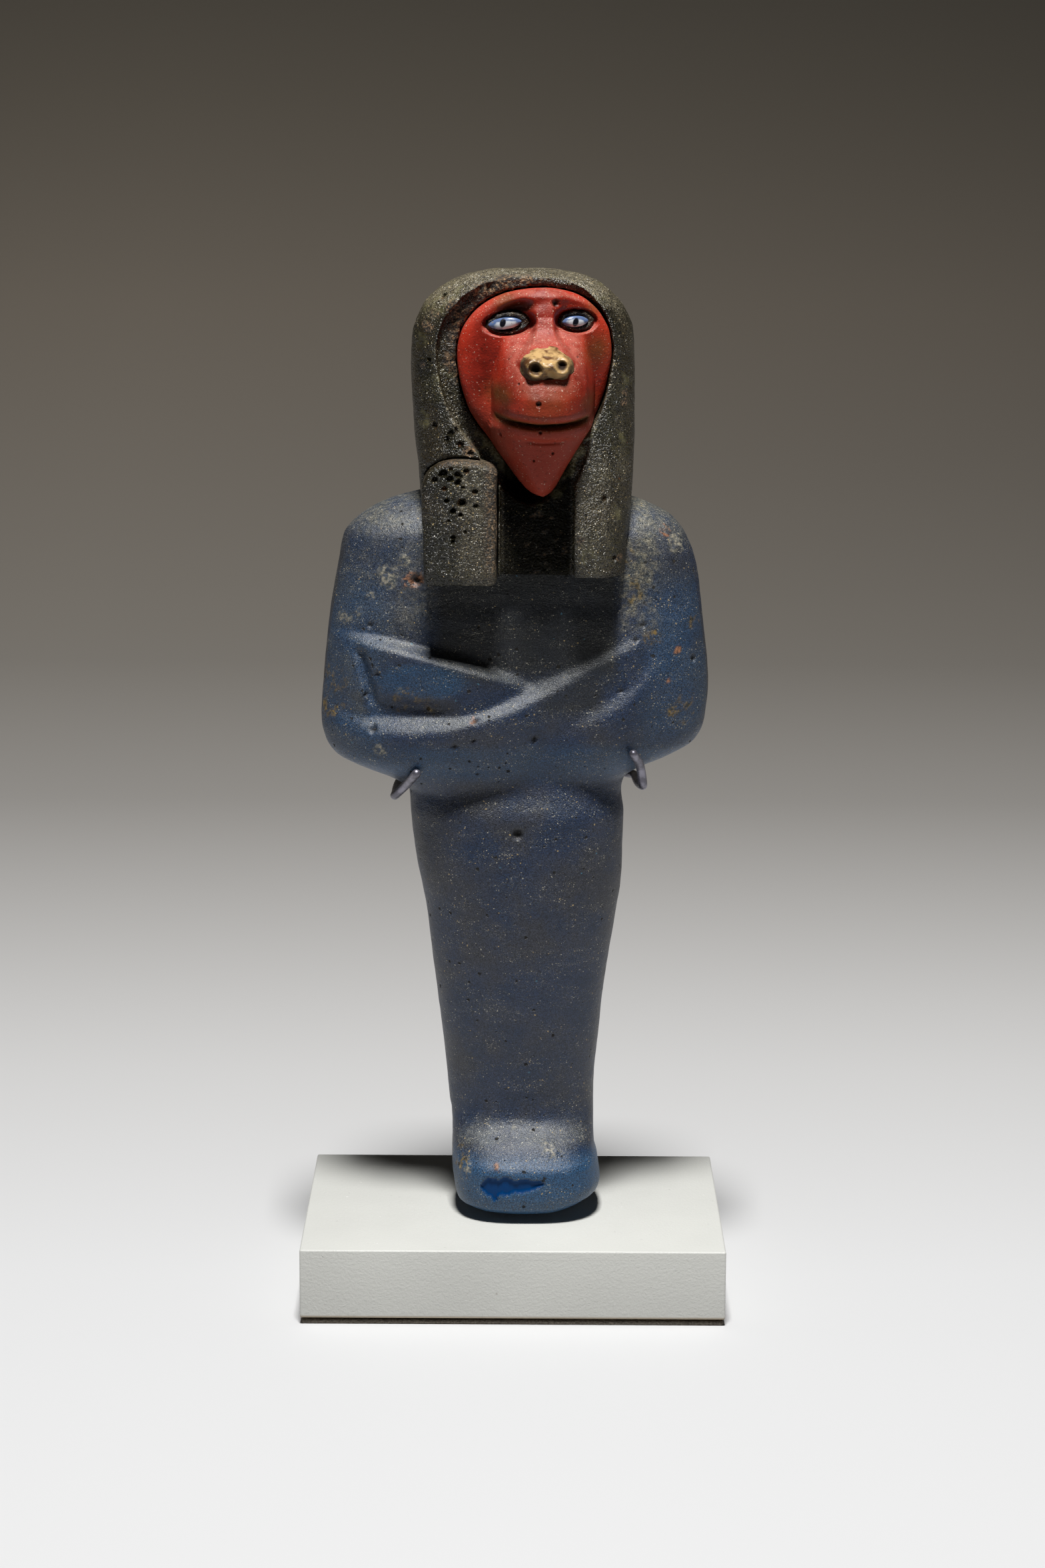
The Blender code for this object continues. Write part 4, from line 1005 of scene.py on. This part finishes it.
FACE_STAINS = ((-4.1, 74.6, 1.0, 0.8), (4.9, 78.2, 1.4, 0.6), (0.0, 74.9, 2.2, 0.35),
               (-3.4, 82.6, 0.9, 0.6), (4.6, 82.2, 0.8, 0.7), (0.0, 72.2, 0.6, 0.5),
               (4.0, 74.2, 0.8, 0.5))
FACE_SIDES = 320
FACE_RINGS = 150
FACE_MIDDLE = (0.0, 76.0)


def mask_edge(u, z):
    """How far out across the face a place is, up to 1 at its outline."""
    down = np.arccos(np.clip(1 - 2 * (FACE_TOP - z) / (FACE_TOP - FACE_CHIN), -1, 1)) / math.pi
    wide = np.maximum(smooth_curve(FACE_OUTLINE, down), 0.3)
    return np.clip(np.abs(u - FACE_LEAN * np.sin(math.pi * down)) / wide, 0, 1)


def face_mask(u, z):
    """The face's plain outer form, without the muzzle, brow or eyes."""
    out = mask_edge(u, z)
    return 0.4 + 0.9 * (1 - out ** 2) + 0.8 * np.sqrt(np.clip(1 - out ** 6, 0, 1))


def mouth_height(u):
    return 72.2 + 0.036 * u ** 2


def out_of_eye(u, z, across, height, half_width, half_height, tilt):
    """How far out a place is from an eye's middle: 1 on its outline."""
    along = (u - across) * math.cos(tilt) + (z - height) * math.sin(tilt)
    over = (z - height) * math.cos(tilt) - (u - across) * math.sin(tilt)
    return np.hypot(along / half_width, over / half_height)


def in_nose_pad(u, z):
    """How far inside the nose pad's outline a place on the face is, from 0 at its edge."""
    across, height, half_width, half_height = NOSE
    return 1 - np.hypot((u - across) / half_width, (z - height) / half_height)


def face_depth(u, z):
    """How far the face stands forward of its own plane, in modules."""
    mask = face_mask(u, z)
    near_mouth = ease((z - 70.0) / 1.5) * ease((75.5 - z) / 1.5)
    bent = z - (mouth_height(u) - mouth_height(0.0)) * near_mouth
    middle = smooth_curve(MUZZLE_FORWARD, bent)
    side = np.clip(np.abs(u) / smooth_curve(MUZZLE_HALF_WIDTH, z), 0, 1)
    depth = mask + np.maximum(middle - 2.1, 0) * (1 - side ** 3.2) ** 0.75
    beside_nose = np.abs(u) / smooth_curve(NOSE_RIDGE_WIDTH, z)
    flare = 0.42 + 0.7 * ease((z - 80.8) / 1.5)
    depth = depth + smooth_curve(NOSE_RIDGE, z) * (1 - ease((beside_nose - 0.6) / flare))
    beside = ease((np.abs(u) - 3.4) / 0.7) * ease((6.6 - np.abs(u)) / 2.4)
    beside = beside * ease((80.2 - z) / 5.5) * ease((z - 71.5) / 3.5)
    arched = z + 0.05 * u ** 2
    brow = np.exp(-((arched - 83.05) / 0.4) ** 2) * np.exp(-(u / 4.5) ** 4)
    depth = depth - 0.45 * beside + 0.15 * brow
    for eye in EYES.values():
        depth = depth + (mask - 0.55 - depth) * ease((1.16 - out_of_eye(u, z, *eye)) / 0.18)
    for across, height, half_width, half_height, sunk in BROW_HOLLOWS:
        near = ((u - across) / half_width) ** 2 + ((arched - height) / half_height) ** 2
        depth = depth - sunk * np.exp(-near ** 1.3)
    slit = np.exp(-((z - mouth_height(u)) / 0.24) ** 2) * ease((4.25 - np.abs(u + 0.25)) / 0.5)
    crease = np.exp(-((z - 70.7 - 0.05 * u ** 2) / 0.2) ** 2) * ease((2.4 - np.abs(u)) / 1.2)
    return depth - 0.65 * slit - 0.16 * crease


def red_glass():
    material, tree, shader, place = new_material("red_glass")
    film, dust = mask_node(tree, "film"), mask_node(tree, "dust")
    # Pale dust and painted sheen where the face looks up
    pale_dust_and_sheen = times(tree, film, ramp(tree, cloud(tree, place, 900.0), 0.35, 0.65, 0.15, 0.75))
    flaws = ramp(tree, cloud(tree, place, 3000.0, 3.0), 0.6, 0.7, 0.0, 0.5)
    shade = mix_colour(tree, ramp(tree, cloud(tree, place, 420.0), 0.35, 0.65), (0.17, 0.012, 0.006),
                       (0.34, 0.026, 0.014))
    for share, colour in ((pale_dust_and_sheen, (0.42, 0.12, 0.085)), (dust, (0.29, 0.042, 0.024)),
                          # Painted highlight: a clearer red on the muzzle's edges and the face's edge
                          (mask_node(tree, "bright"), (0.44, 0.032, 0.014)),
                          (mask_node(tree, "olive"), (0.12, 0.065, 0.018)),
                          (mask_node(tree, "shade"), (0.035, 0.014, 0.007)), (flaws, (0.05, 0.012, 0.006))):
        shade = tint(tree, shade, share, colour)
    amount = ramp(tree, film, 0.0, 1.0, 0.13, 0.45)
    clumped = ramp(tree, cloud(tree, place, 1200.0, 4.0, 0.7), 0.42, 0.6, 0.3, 1.5)
    shade = tint(tree, shade, spots(tree, place, 4200.0, amount, 0.36), (0.60, 0.42, 0.32), 0.65)
    grit = spots(tree, place, 8500.0, times(tree, amount, clumped), 0.5)
    shade = tint(tree, shade, grit, (0.55, 0.34, 0.24), 0.55)
    # Burst bubbles darkened with painted shade
    pit = math_node(tree, "MAXIMUM", spots(tree, place, 1300.0, 0.06, 0.13), mask_node(tree, "pit"))
    shade = tint(tree, shade, pit, (0.03, 0.008, 0.004))
    height = math_node(tree, "SUBTRACT", grain(tree, place, 6000.0), pit)
    set_inputs(tree, shader, {"Base Color": shade, "Roughness": ramp(tree, film, 0.0, 1.0, 0.36, 0.5),
                              "Specular IOR Level": ramp(tree, dust, 0.0, 1.0, 0.22, 0.08),
                              "Normal": bumped(tree, height, 0.000035)})
    return material


def face_rings():
    """The face from its back forward and then in to its middle, and each point's place on it."""
    outline = face_outline(FACE_SIDES)
    middle = np.array(FACE_MIDDLE)
    rings = [face_point(outline[:, 0], -back, outline[:, 1]) for back in (FACE_BACK, FACE_BACK / 2)]
    places = [outline, outline]
    for share in np.linspace(1.0, 0.01, FACE_RINGS):
        places.append(middle + (outline - middle) * share)
        u, z = places[-1].T
        seat = 0.9 * ease((in_nose_pad(u, z) - 0.08) / 0.1)
        rings.append(face_point(u, face_depth(u, z) - seat, z))
    return rings, np.concatenate([*places, [outline.mean(axis=0)], [middle]])


def olive_stains(u, z, patchy):
    """Stains on the face and the soil in its mouth."""
    stains = np.exp(-((z - mouth_height(u) + 0.08) / 0.36) ** 2) * 0.9
    stains = stains * ease((4.3 - np.abs(u + 0.25)) / 0.4)
    for across, height, reach, amount in FACE_STAINS:
        near = np.exp(-((u - across) ** 2 + (z - height) ** 2) / reach ** 2)
        stains = np.maximum(stains, amount * near * (0.4 + patchy))
    return np.clip(stains, 0, 1)


def shaded_hollows(u, z, patchy):
    """The dark hollows above the eyes and beside the muzzle."""
    hollow = np.zeros(len(u))
    for across, height, half_width, half_height, sunk in BROW_HOLLOWS:
        over = z + 0.05 * u ** 2 - height
        near = np.hypot((u - across) / (1.15 * half_width), over / (1.2 * half_height))
        hollow = np.maximum(hollow, sunk * ease((1.15 - near + 0.5 * (patchy - 0.5)) / 0.5))
    beside = ease((np.abs(u) - 3.9) / 0.5) * ease((5.6 - np.abs(u)) / 1.2)
    beside = beside * ease((79.2 - z) / 2.0) * ease((z - 71.5) / 6.0)
    return np.maximum(0.9 * hollow, 0.08 * beside * (0.5 + patchy))


def painted_edge_highlight(u, z):
    """Painted highlight on the muzzle's edges and the face's own edge, in a clearer red."""
    side = np.abs(u) / smooth_curve(MUZZLE_HALF_WIDTH, z)
    muzzle = np.exp(-((side - 0.93) / 0.1) ** 2) * ease((80.0 - z) / 1.0) * ease((z - 72.8) / 1.0)
    return np.maximum(muzzle, ease((mask_edge(u, z) - 0.8) / 0.15) * ease((z - 73.0) / 3.0))


def make_face():
    rings, places = face_rings()
    u, z = places.T
    face = add_piece("glass_face", *rings_mesh(rings))
    points, normals = wear(face, ((0.00004, 0.0016, 7),))
    patchy = 0.5 + 0.5 * roughen(points, 0.0022, 8)
    write_masks(face, {"dust": ease((75.5 - z + 1.5 * (patchy - 0.5)) / 4.0) * 0.85,
                       # The film mask is pale dust and painted sheen on what faces up
                       "film": ease((normals[:, 2] - 0.15) / 0.5),
                       "bright": painted_edge_highlight(u, z) * (0.3 + 0.7 * patchy),
                       "olive": olive_stains(u, z, patchy), "shade": shaded_hollows(u, z, patchy)})
    bubbles = []
    for across, height, radius in FACE_HOLES:
        x, _, level = face_point(across, 5.0, height)
        bubbles.append((*on_front(points, x, level), radius * MODULE, 0.8 * radius * MODULE))
    burst_bubbles(face, bubbles)
    face.data.materials.append(red_glass())
    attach(face, "root")
    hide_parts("face")


make_face()


# Snout: a pad of ochre glass on the end of the muzzle, pinched up into two nostrils. It
# is laid ring by ring over the face's own form, and painted shade darkens its nostrils and lower edge.
NOSE_SIDES = 160
NOSE_RINGS = 60
NOSTRILS = ((-1.02, 77.2, 0.48), (1.24, 77.42, 0.42))


def ochre_glass():
    material, tree, shader, place = new_material("ochre_glass")
    worn = cloud(tree, place, 950.0, 4.0, 0.6)
    shade = mix_colour(tree, ramp(tree, worn, 0.38, 0.56), (0.10, 0.043, 0.016), (0.47, 0.30, 0.125))
    pit = mask_node(tree, "pit")
    # Painted shade in the nostrils and under the pad's lower edge
    shade = tint(tree, shade, pit, (0.022, 0.011, 0.005))
    set_inputs(tree, shader, {"Base Color": shade, "Roughness": ramp(tree, pit, 0.0, 1.0, 0.36, 0.9),
                              "Specular IOR Level": 0.3, "Normal": bumped(tree, worn, 0.0002, 0.6)})
    return material


def nose_outline(sides):
    """The nose pad, wider at the nostrils than at the bridge."""
    across, height, half_width, half_height = NOSE
    around = 2 * math.pi * np.arange(sides) / sides
    wide = half_width * np.sin(around) * (1 - 0.2 * np.cos(around))
    tall = half_height * np.cos(around) * (1 + 0.12 * np.abs(np.sin(around)))
    return np.stack([across + wide, height + tall], axis=-1)


def nose_lift(u, z, share):
    """How far the nose pad stands over the face, at a share of the way out to its edge."""
    notch = np.exp(-((u - 0.15) / 0.5) ** 2) * ease((77.5 - z) / 0.7)
    lift = -0.12 + 0.25 * ease((1 - share) / 0.2) - 0.35 * notch
    for across, height, radius in NOSTRILS:
        away = np.hypot(u - across * 1.1, (z - height - 0.1) * 1.1)
        lift = lift + 0.65 * np.exp(-(away / 1.05) ** 2.2)
        hole = np.hypot((u - across) / 1.15, z - height) / radius
        lift = lift - 1.2 * np.exp(-hole ** 2.6)
    return lift


def painted_shade_of_nose(points):
    """Painted shade: 1 in the nostrils, and less along the pad's lower edge."""
    deep = np.zeros(len(points))
    for across, height, radius in NOSTRILS:
        x, _, z = face_point(across, 9.0, height)
        away = np.hypot(points[:, 0] - x, points[:, 2] - z) / (radius * MODULE)
        deep = np.maximum(deep, ease((1.35 - away) / 0.8))
    x, _, z = face_point(NOSE[0], 9.0, NOSE[1])
    edge = np.hypot((points[:, 0] - x) / NOSE[2], (points[:, 2] - z) / NOSE[3]) / MODULE
    return np.maximum(deep, 0.75 * ease((edge - 0.78) / 0.2) * (points[:, 2] < z + 0.0006))


def make_nose():
    outline = nose_outline(NOSE_SIDES)
    middle = np.array(NOSE[:2])
    u, z = outline.T
    rings = [face_point(u, face_depth(u, z) - 1.0, z)]
    for share in np.linspace(1.0, 0.01, NOSE_RINGS):
        u, z = (middle + (outline - middle) * share).T
        rings.append(face_point(u, face_depth(u, z) + nose_lift(u, z, share), z))
    nose = add_piece("glass_snout", *rings_mesh(rings))
    points = wear(nose, ((0.00013, 0.0011, 9), (0.00005, 0.0004, 10)))[0]
    write_masks(nose, {"pit": painted_shade_of_nose(points)})
    nose.data.materials.append(ochre_glass())
    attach(nose, "root")
    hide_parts("snout")


make_nose()


# Eyes: each is a black glass rim set in the face, and in it a slice of a drawn cane with
# a black pupil, a white ring and pale blue glass outside it.
EYEBALLS = {"left": (-3.4, 80.62, 1.46, 0.51, 0.13), "right": (2.75, 80.8, 1.18, 0.48, 0.05)}
PUPILS = {"left": (-3.6, 80.67, 0.25, 0.38, -0.3), "right": (2.77, 80.75, 0.24, 0.38, -0.3)}
EYE_WHITES = {"left": (-3.25, 80.5, 1.0, 0.4, 0.1), "right": (2.8, 80.66, 0.8, 0.38, 0.0)}


def almond(across, height, half_width, half_height, tilt, pinch, sides=120):
    """A tilted eye's outline, whose corners are pinched to a point."""
    around = 2 * math.pi * np.arange(sides) / sides
    wide = half_width * np.sin(around)
    tall = half_height * np.cos(around) * (1 - pinch * np.sin(around) ** 4)
    return np.stack([across + wide * math.cos(tilt) - tall * math.sin(tilt),
                     height + wide * math.sin(tilt) + tall * math.cos(tilt)], axis=-1)


def eye_dome(name, outline, lift_at, sunk):
    """A small inlay over the face's plain form, lifted by lift_at(share of the way out)."""
    middle = outline.mean(axis=0)
    rings = [face_point(outline[:, 0], face_mask(outline[:, 0], outline[:, 1]) - sunk, outline[:, 1])]
    for share in np.linspace(1.0, 0.01, 40):
        spot = middle + (outline - middle) * share
        rings.append(face_point(spot[:, 0], face_mask(spot[:, 0], spot[:, 1]) + lift_at(share), spot[:, 1]))
    return add_piece(name, *rings_mesh(rings))


def rim_glass():
    material, tree, shader, place = new_material("black_rim_glass")
    share = ramp(tree, cloud(tree, place, 1400.0, 3.0), 0.42, 0.6, 0.0, 0.8)
    film = ramp(tree, cloud(tree, place, 1100.0, 4.0), 0.42, 0.62, 0.0, 0.8)
    shade = mix_colour(tree, film, (0.007, 0.007, 0.008), (0.055, 0.038, 0.02))
    shade = tint(tree, shade, spots(tree, place, 8000.0, share, 0.5), (0.62, 0.52, 0.34), 0.9)
    set_inputs(tree, shader, {"Base Color": shade, "Roughness": 0.45,
                              "Normal": bumped(tree, grain(tree, place, 7000.0), 0.00013)})
    return material


def cane_glass():
    material, tree, shader, place = new_material("eye_cane_glass")
    streak = ramp(tree, cloud(tree, place, 1500.0, 3.0), 0.3, 0.7, -0.15, 0.15)
    white = math_node(tree, "ADD", mask_node(tree, "from_white"), streak)
    shade = mix_colour(tree, ramp(tree, white, 0.8, 1.15), (0.58, 0.61, 0.64), (0.085, 0.13, 0.25))
    pupil = ramp(tree, mask_node(tree, "from_pupil"), 1.15, 0.9)
    shade = tint(tree, shade, pupil, (0.006, 0.007, 0.012))
    soil = spots(tree, place, 3600.0, ramp(tree, white, 0.0, 2.0, 0.05, 0.3), 0.35)
    shade = tint(tree, shade, soil, (0.24, 0.19, 0.11), 0.6)
    set_inputs(tree, shader, {"Base Color": shade, "Roughness": 0.25})
    return material


rim_black = rim_glass()
cane = cane_glass()


def rim_lift(share):
    return -0.6 + 0.3 * float(ease((1 - share) / 0.2)) - 0.2 * float(ease((0.7 - share) / 0.2))


def ball_lift(share):
    return -0.3 + 0.32 * math.sqrt(max(0.0, 1 - share ** 2.5))


def make_eyes():
    for side in ("left", "right"):
        outline = almond(*EYES[side], 0.2)
        ragged = roughen(np.column_stack([outline, outline[:, 0]]) * MODULE, 0.0008, 27)
        rim = eye_dome("glass_eye_rim_" + side, outline + 0.09 * ragged[:, None], rim_lift, 0.8)
        wear(rim, ((0.0001, 0.0006, 11), (0.00006, 0.00025, 28)))
        rim.data.materials.append(rim_black)
        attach(rim, "root")
        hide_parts("eye_rim_" + side)
        ball = eye_dome("glass_eye_" + side, almond(*EYEBALLS[side], 0.3), ball_lift, 0.5)
        points = read_points(ball)[0]
        u = (points[:, 0] / MODULE - FACE_PLACE[0] - 2.0 * math.sin(FACE_TURN)) / math.cos(FACE_TURN)
        z = in_modules(points)[1]
        write_masks(ball, {"from_pupil": out_of_eye(u, z, *PUPILS[side]),
                           "from_white": out_of_eye(u, z, *EYE_WHITES[side])})
        ball.data.materials.append(cane)
        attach(ball, "root")
        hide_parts("eye_" + side)


make_eyes()


# Cradle: a thin metal rod dulled to a lilac grey, bent round the waist with its two tips
# turned up over the front, on a short post that stands in the block behind the feet.
PRONG_RADIUS = 0.4
POST_RADIUS = 0.8
CRADLE_CLEARANCE = 0.5
CRADLE_LEVELS = 420
LEFT_TIP = (-8.7, 41.0)
LEFT_SIDE = (-10.0, 38.3)
RIGHT_TIP = (10.4, 42.7)
RIGHT_SIDE = (10.3, 39.3)
POST_CORNER = 6
POST_LEVELS = 60


def steel():
    material, tree, shader, place = new_material("dulled_steel")
    shade = mix_colour(tree, ramp(tree, cloud(tree, place, 900.0), 0.4, 0.6), (0.13, 0.125, 0.15),
                       (0.27, 0.26, 0.31))
    set_inputs(tree, shader, {"Base Color": shade, "Metallic": 0.75, "Roughness": 0.38,
                              "Normal": bumped(tree, cloud(tree, place, 5000.0), 0.00003, 0.6)})
    return material


def body_front(x, z):
    """The body's front in modules, at a place across it and a height."""
    left, right, front, back = outline_at(BODY, z)
    power = smooth_curve(SQUARENESS, z)
    across = np.clip(np.abs((x - (left + right) / 2) / ((right - left) / 2)), 0, 1)
    depth = (1 - across ** power) ** (1 / power)
    return float((front + back) / 2 - (back - front) / 2 * depth - arm_relief(x, z) * depth)


def cradle_corners():
    """From the left tip, under the left elbow, behind the waist, to the right tip."""
    room = PRONG_RADIUS + CRADLE_CLEARANCE
    behind = max(row[4] for row in BODY if row[0] < 42.0) + room
    left_out = LEFT_SIDE[0] - room
    right_out = RIGHT_SIDE[0] + room
    left_level = LEFT_SIDE[1]
    right_level = RIGHT_SIDE[1]
    left_bend = (LEFT_TIP[0] - 1.0, LEFT_TIP[1] - 1.5)
    right_bend = (RIGHT_TIP[0] + 0.8, RIGHT_TIP[1] - 1.65)
    return [(LEFT_TIP[0], body_front(*LEFT_TIP) - room, LEFT_TIP[1]),
            (left_bend[0], body_front(*left_bend) - room - 0.1, left_bend[1]),
            (left_out, -2.2, left_level - 0.3),
            (left_out, 1.5, left_level - 0.6),
            (left_out + 0.2, behind - 2.2, left_level - 0.6),
            (left_out + 2.8, behind, left_level - 0.6),
            (0.5, behind, left_level - 0.4),
            (right_out - 2.8, behind, right_level - 1.1),
            (right_out - 0.2, behind - 2.2, right_level - 1.0),
            (right_out, 1.5, right_level - 0.7),
            (right_out + 0.3, -2.4, right_level - 0.2),
            (right_bend[0], body_front(*right_bend) - room - 0.1, right_bend[1]),
            (RIGHT_TIP[0], body_front(*RIGHT_TIP) - room, RIGHT_TIP[1])]


def rod_rings(path, radius, sides, tip):
    """Rings along a round rod whose ends are domed over the last tip metres."""
    path = np.asarray(path, float)
    ahead = np.gradient(path, axis=0)
    ahead /= np.linalg.norm(ahead, axis=1, keepdims=True)
    length = np.concatenate([[0.0], np.cumsum(np.linalg.norm(np.diff(path, axis=0), axis=1))])
    end = np.minimum(length, length[-1] - length) / tip
    thick = radius * np.sqrt(np.clip(1 - (1 - np.clip(end, 0, 1)) ** 2, 0.02, 1))
    side = np.cross(ahead[0], (0.31, 0.17, 0.93))
    turn = 2 * math.pi * np.arange(sides) / sides
    rings = []
    for place, forward, reach in zip(path, ahead, thick):
        side = side - forward * side.dot(forward)
        side /= np.linalg.norm(side)
        up = np.cross(forward, side)
        rings.append(place + reach * (np.outer(np.cos(turn), side) + np.outer(np.sin(turn), up)))
    return rings


def round_path(corners, count):
    """A smooth rod line through its corners, closer together towards both ends."""
    corners = np.asarray(corners, float)
    length = np.concatenate([[0.0], np.cumsum(np.linalg.norm(np.diff(corners, axis=0), axis=1))])
    at = length[-1] * (1 - np.cos(np.linspace(0, math.pi, count))) / 2
    return np.stack([smooth_curve(np.stack([length, line], axis=-1), at) for line in corners.T], axis=-1)


def make_cradle():
    path = figure_point(round_path(cradle_corners(), CRADLE_LEVELS))
    points, faces = rings_mesh(rod_rings(path, PRONG_RADIUS * MODULE, 24, PRONG_RADIUS * MODULE))
    x, y, z = figure_point(np.array(cradle_corners()[POST_CORNER]))
    y = y + (POST_RADIUS - PRONG_RADIUS) * MODULE
    levels = np.linspace(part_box("mount_cradle")[0][2], z + PRONG_RADIUS * 2 * MODULE, POST_LEVELS)
    post = np.stack([np.full(POST_LEVELS, x), np.full(POST_LEVELS, y), levels], axis=-1)
    post_points, post_faces = rings_mesh(rod_rings(post, POST_RADIUS * MODULE, 32, 0.0003))
    faces = faces + [[i + len(points) for i in face] for face in post_faces]
    cradle = add_piece("steel_cradle", np.concatenate([points, post_points]), faces)
    cradle.data.materials.append(steel())
    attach(cradle, "root")
    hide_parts("mount_cradle")


make_cradle()


# Block: a board cut to size and painted a flat pale grey, with brushed-out edges, specks
# of dust under the paint and the bare board showing as a tan line along its foot.
BLOCK_EDGE = 0.00018


def painted_board():
    material, tree, shader, place = new_material("pale_grey_paint")
    (_, _, foot), (_, _, top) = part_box("plinth_block")
    height = add_node(tree, "SeparateXYZ", {0: place}).outputs["Z"]
    shade = mix_colour(tree, ramp(tree, cloud(tree, place, 60.0, 3.0), 0.35, 0.65), (0.57, 0.57, 0.535),
                       (0.61, 0.61, 0.572))
    shade = tint(tree, shade, spots(tree, place, 900.0, 0.1, 0.1), (0.85, 0.84, 0.8), 0.5)
    shade = tint(tree, shade, spots(tree, place, 700.0, 0.05, 0.07), (0.3, 0.27, 0.22), 0.5)
    bare = ramp(tree, height, foot + 0.0001, foot + 0.0003, 0.8, 0.0)
    shade = tint(tree, shade, bare, (0.33, 0.25, 0.15))
    # A faint scratch along the sides, just under the top edge
    wander = ramp(tree, cloud(tree, place, 60.0, 2.0), 0.3, 0.7, -0.00006, 0.00006)
    level = math_node(tree, "SUBTRACT", math_node(tree, "ADD", height, wander), top - 0.0008)
    scratch = ramp(tree, math_node(tree, "ABSOLUTE", level), 0.0, 0.00005, 0.22, 0.0)
    shade = tint(tree, shade, scratch, (0.40, 0.385, 0.34))
    peel = math_node(tree, "ADD", cloud(tree, place, 4500.0, 2.0), spots(tree, place, 1300.0, 0.2, 0.12))
    set_inputs(tree, shader, {"Base Color": shade, "Roughness": 0.5,
                              "Normal": bumped(tree, peel, 0.00005, 0.8)})
    return material


def box_piece(name, low, high, edge, segments):
    """A closed box between two corners with rounded edges."""
    low, high = Vector(low), Vector(high)
    shape = bmesh.new()
    bmesh.ops.create_cube(shape, size=1.0)
    bmesh.ops.scale(shape, vec=high - low, verts=shape.verts)
    bmesh.ops.translate(shape, vec=(low + high) / 2, verts=shape.verts)
    bmesh.ops.bevel(shape, geom=shape.edges[:], offset=edge, segments=segments, affect="EDGES", profile=0.5)
    mesh = bpy.data.meshes.new(name)
    shape.to_mesh(mesh)
    shape.free()
    mesh.shade_smooth()
    mesh.set_sharp_from_angle(angle=math.radians(50))
    piece = bpy.data.objects.new(name, mesh)
    bpy.context.scene.collection.objects.link(piece)
    return piece


def make_block():
    block = box_piece("painted_block", *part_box("plinth_block"), BLOCK_EDGE, 5)
    block.data.materials.append(painted_board())
    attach(block, "root")
    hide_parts("plinth_block")


make_block()


# Felt: a thin brown pad glued under the block. It is cut by hand from one sheet, so its
# edge is a little ragged.
FELT_EDGE_POINTS = 180
FELT_RAGGED = 0.00006


def brown_felt():
    material, tree, shader, place = new_material("brown_felt")
    fibres = cloud(tree, place, 6000.0, 3.0, 0.7)
    shade = mix_colour(tree, ramp(tree, fibres, 0.35, 0.65), (0.06, 0.05, 0.038), (0.19, 0.165, 0.13))
    set_inputs(tree, shader, {"Base Color": shade, "Roughness": 0.95,
                              "Normal": bumped(tree, fibres, 0.0001)})
    return material


def make_felt():
    low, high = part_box("felt_pad")
    outline = []
    corners = ((low[0], low[1]), (high[0], low[1]), (high[0], high[1]), (low[0], high[1]))
    for start, end in zip(corners, corners[1:] + corners[:1]):
        for share in np.linspace(0, 1, FELT_EDGE_POINTS, endpoint=False):
            outline.append(np.array(start) + (np.array(end) - np.array(start)) * share)
    outline = np.array(outline)
    rings = []
    for height, inset in ((low[2], 0.00008), ((low[2] + high[2]) / 2, 0.0), (high[2], 0.00006)):
        ring = np.column_stack([outline * (1 - inset / 0.014), np.full(len(outline), height)])
        pulled = 1 - FELT_RAGGED / 0.016 * (1 + roughen(ring, 0.0004, 30))
        rings.append(ring * np.column_stack([pulled, pulled, np.ones(len(ring))]))
    felt = add_piece("cut_felt", *rings_mesh(rings))
    felt.data.materials.append(brown_felt())
    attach(felt, "root")
    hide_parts("felt_pad")


make_felt()
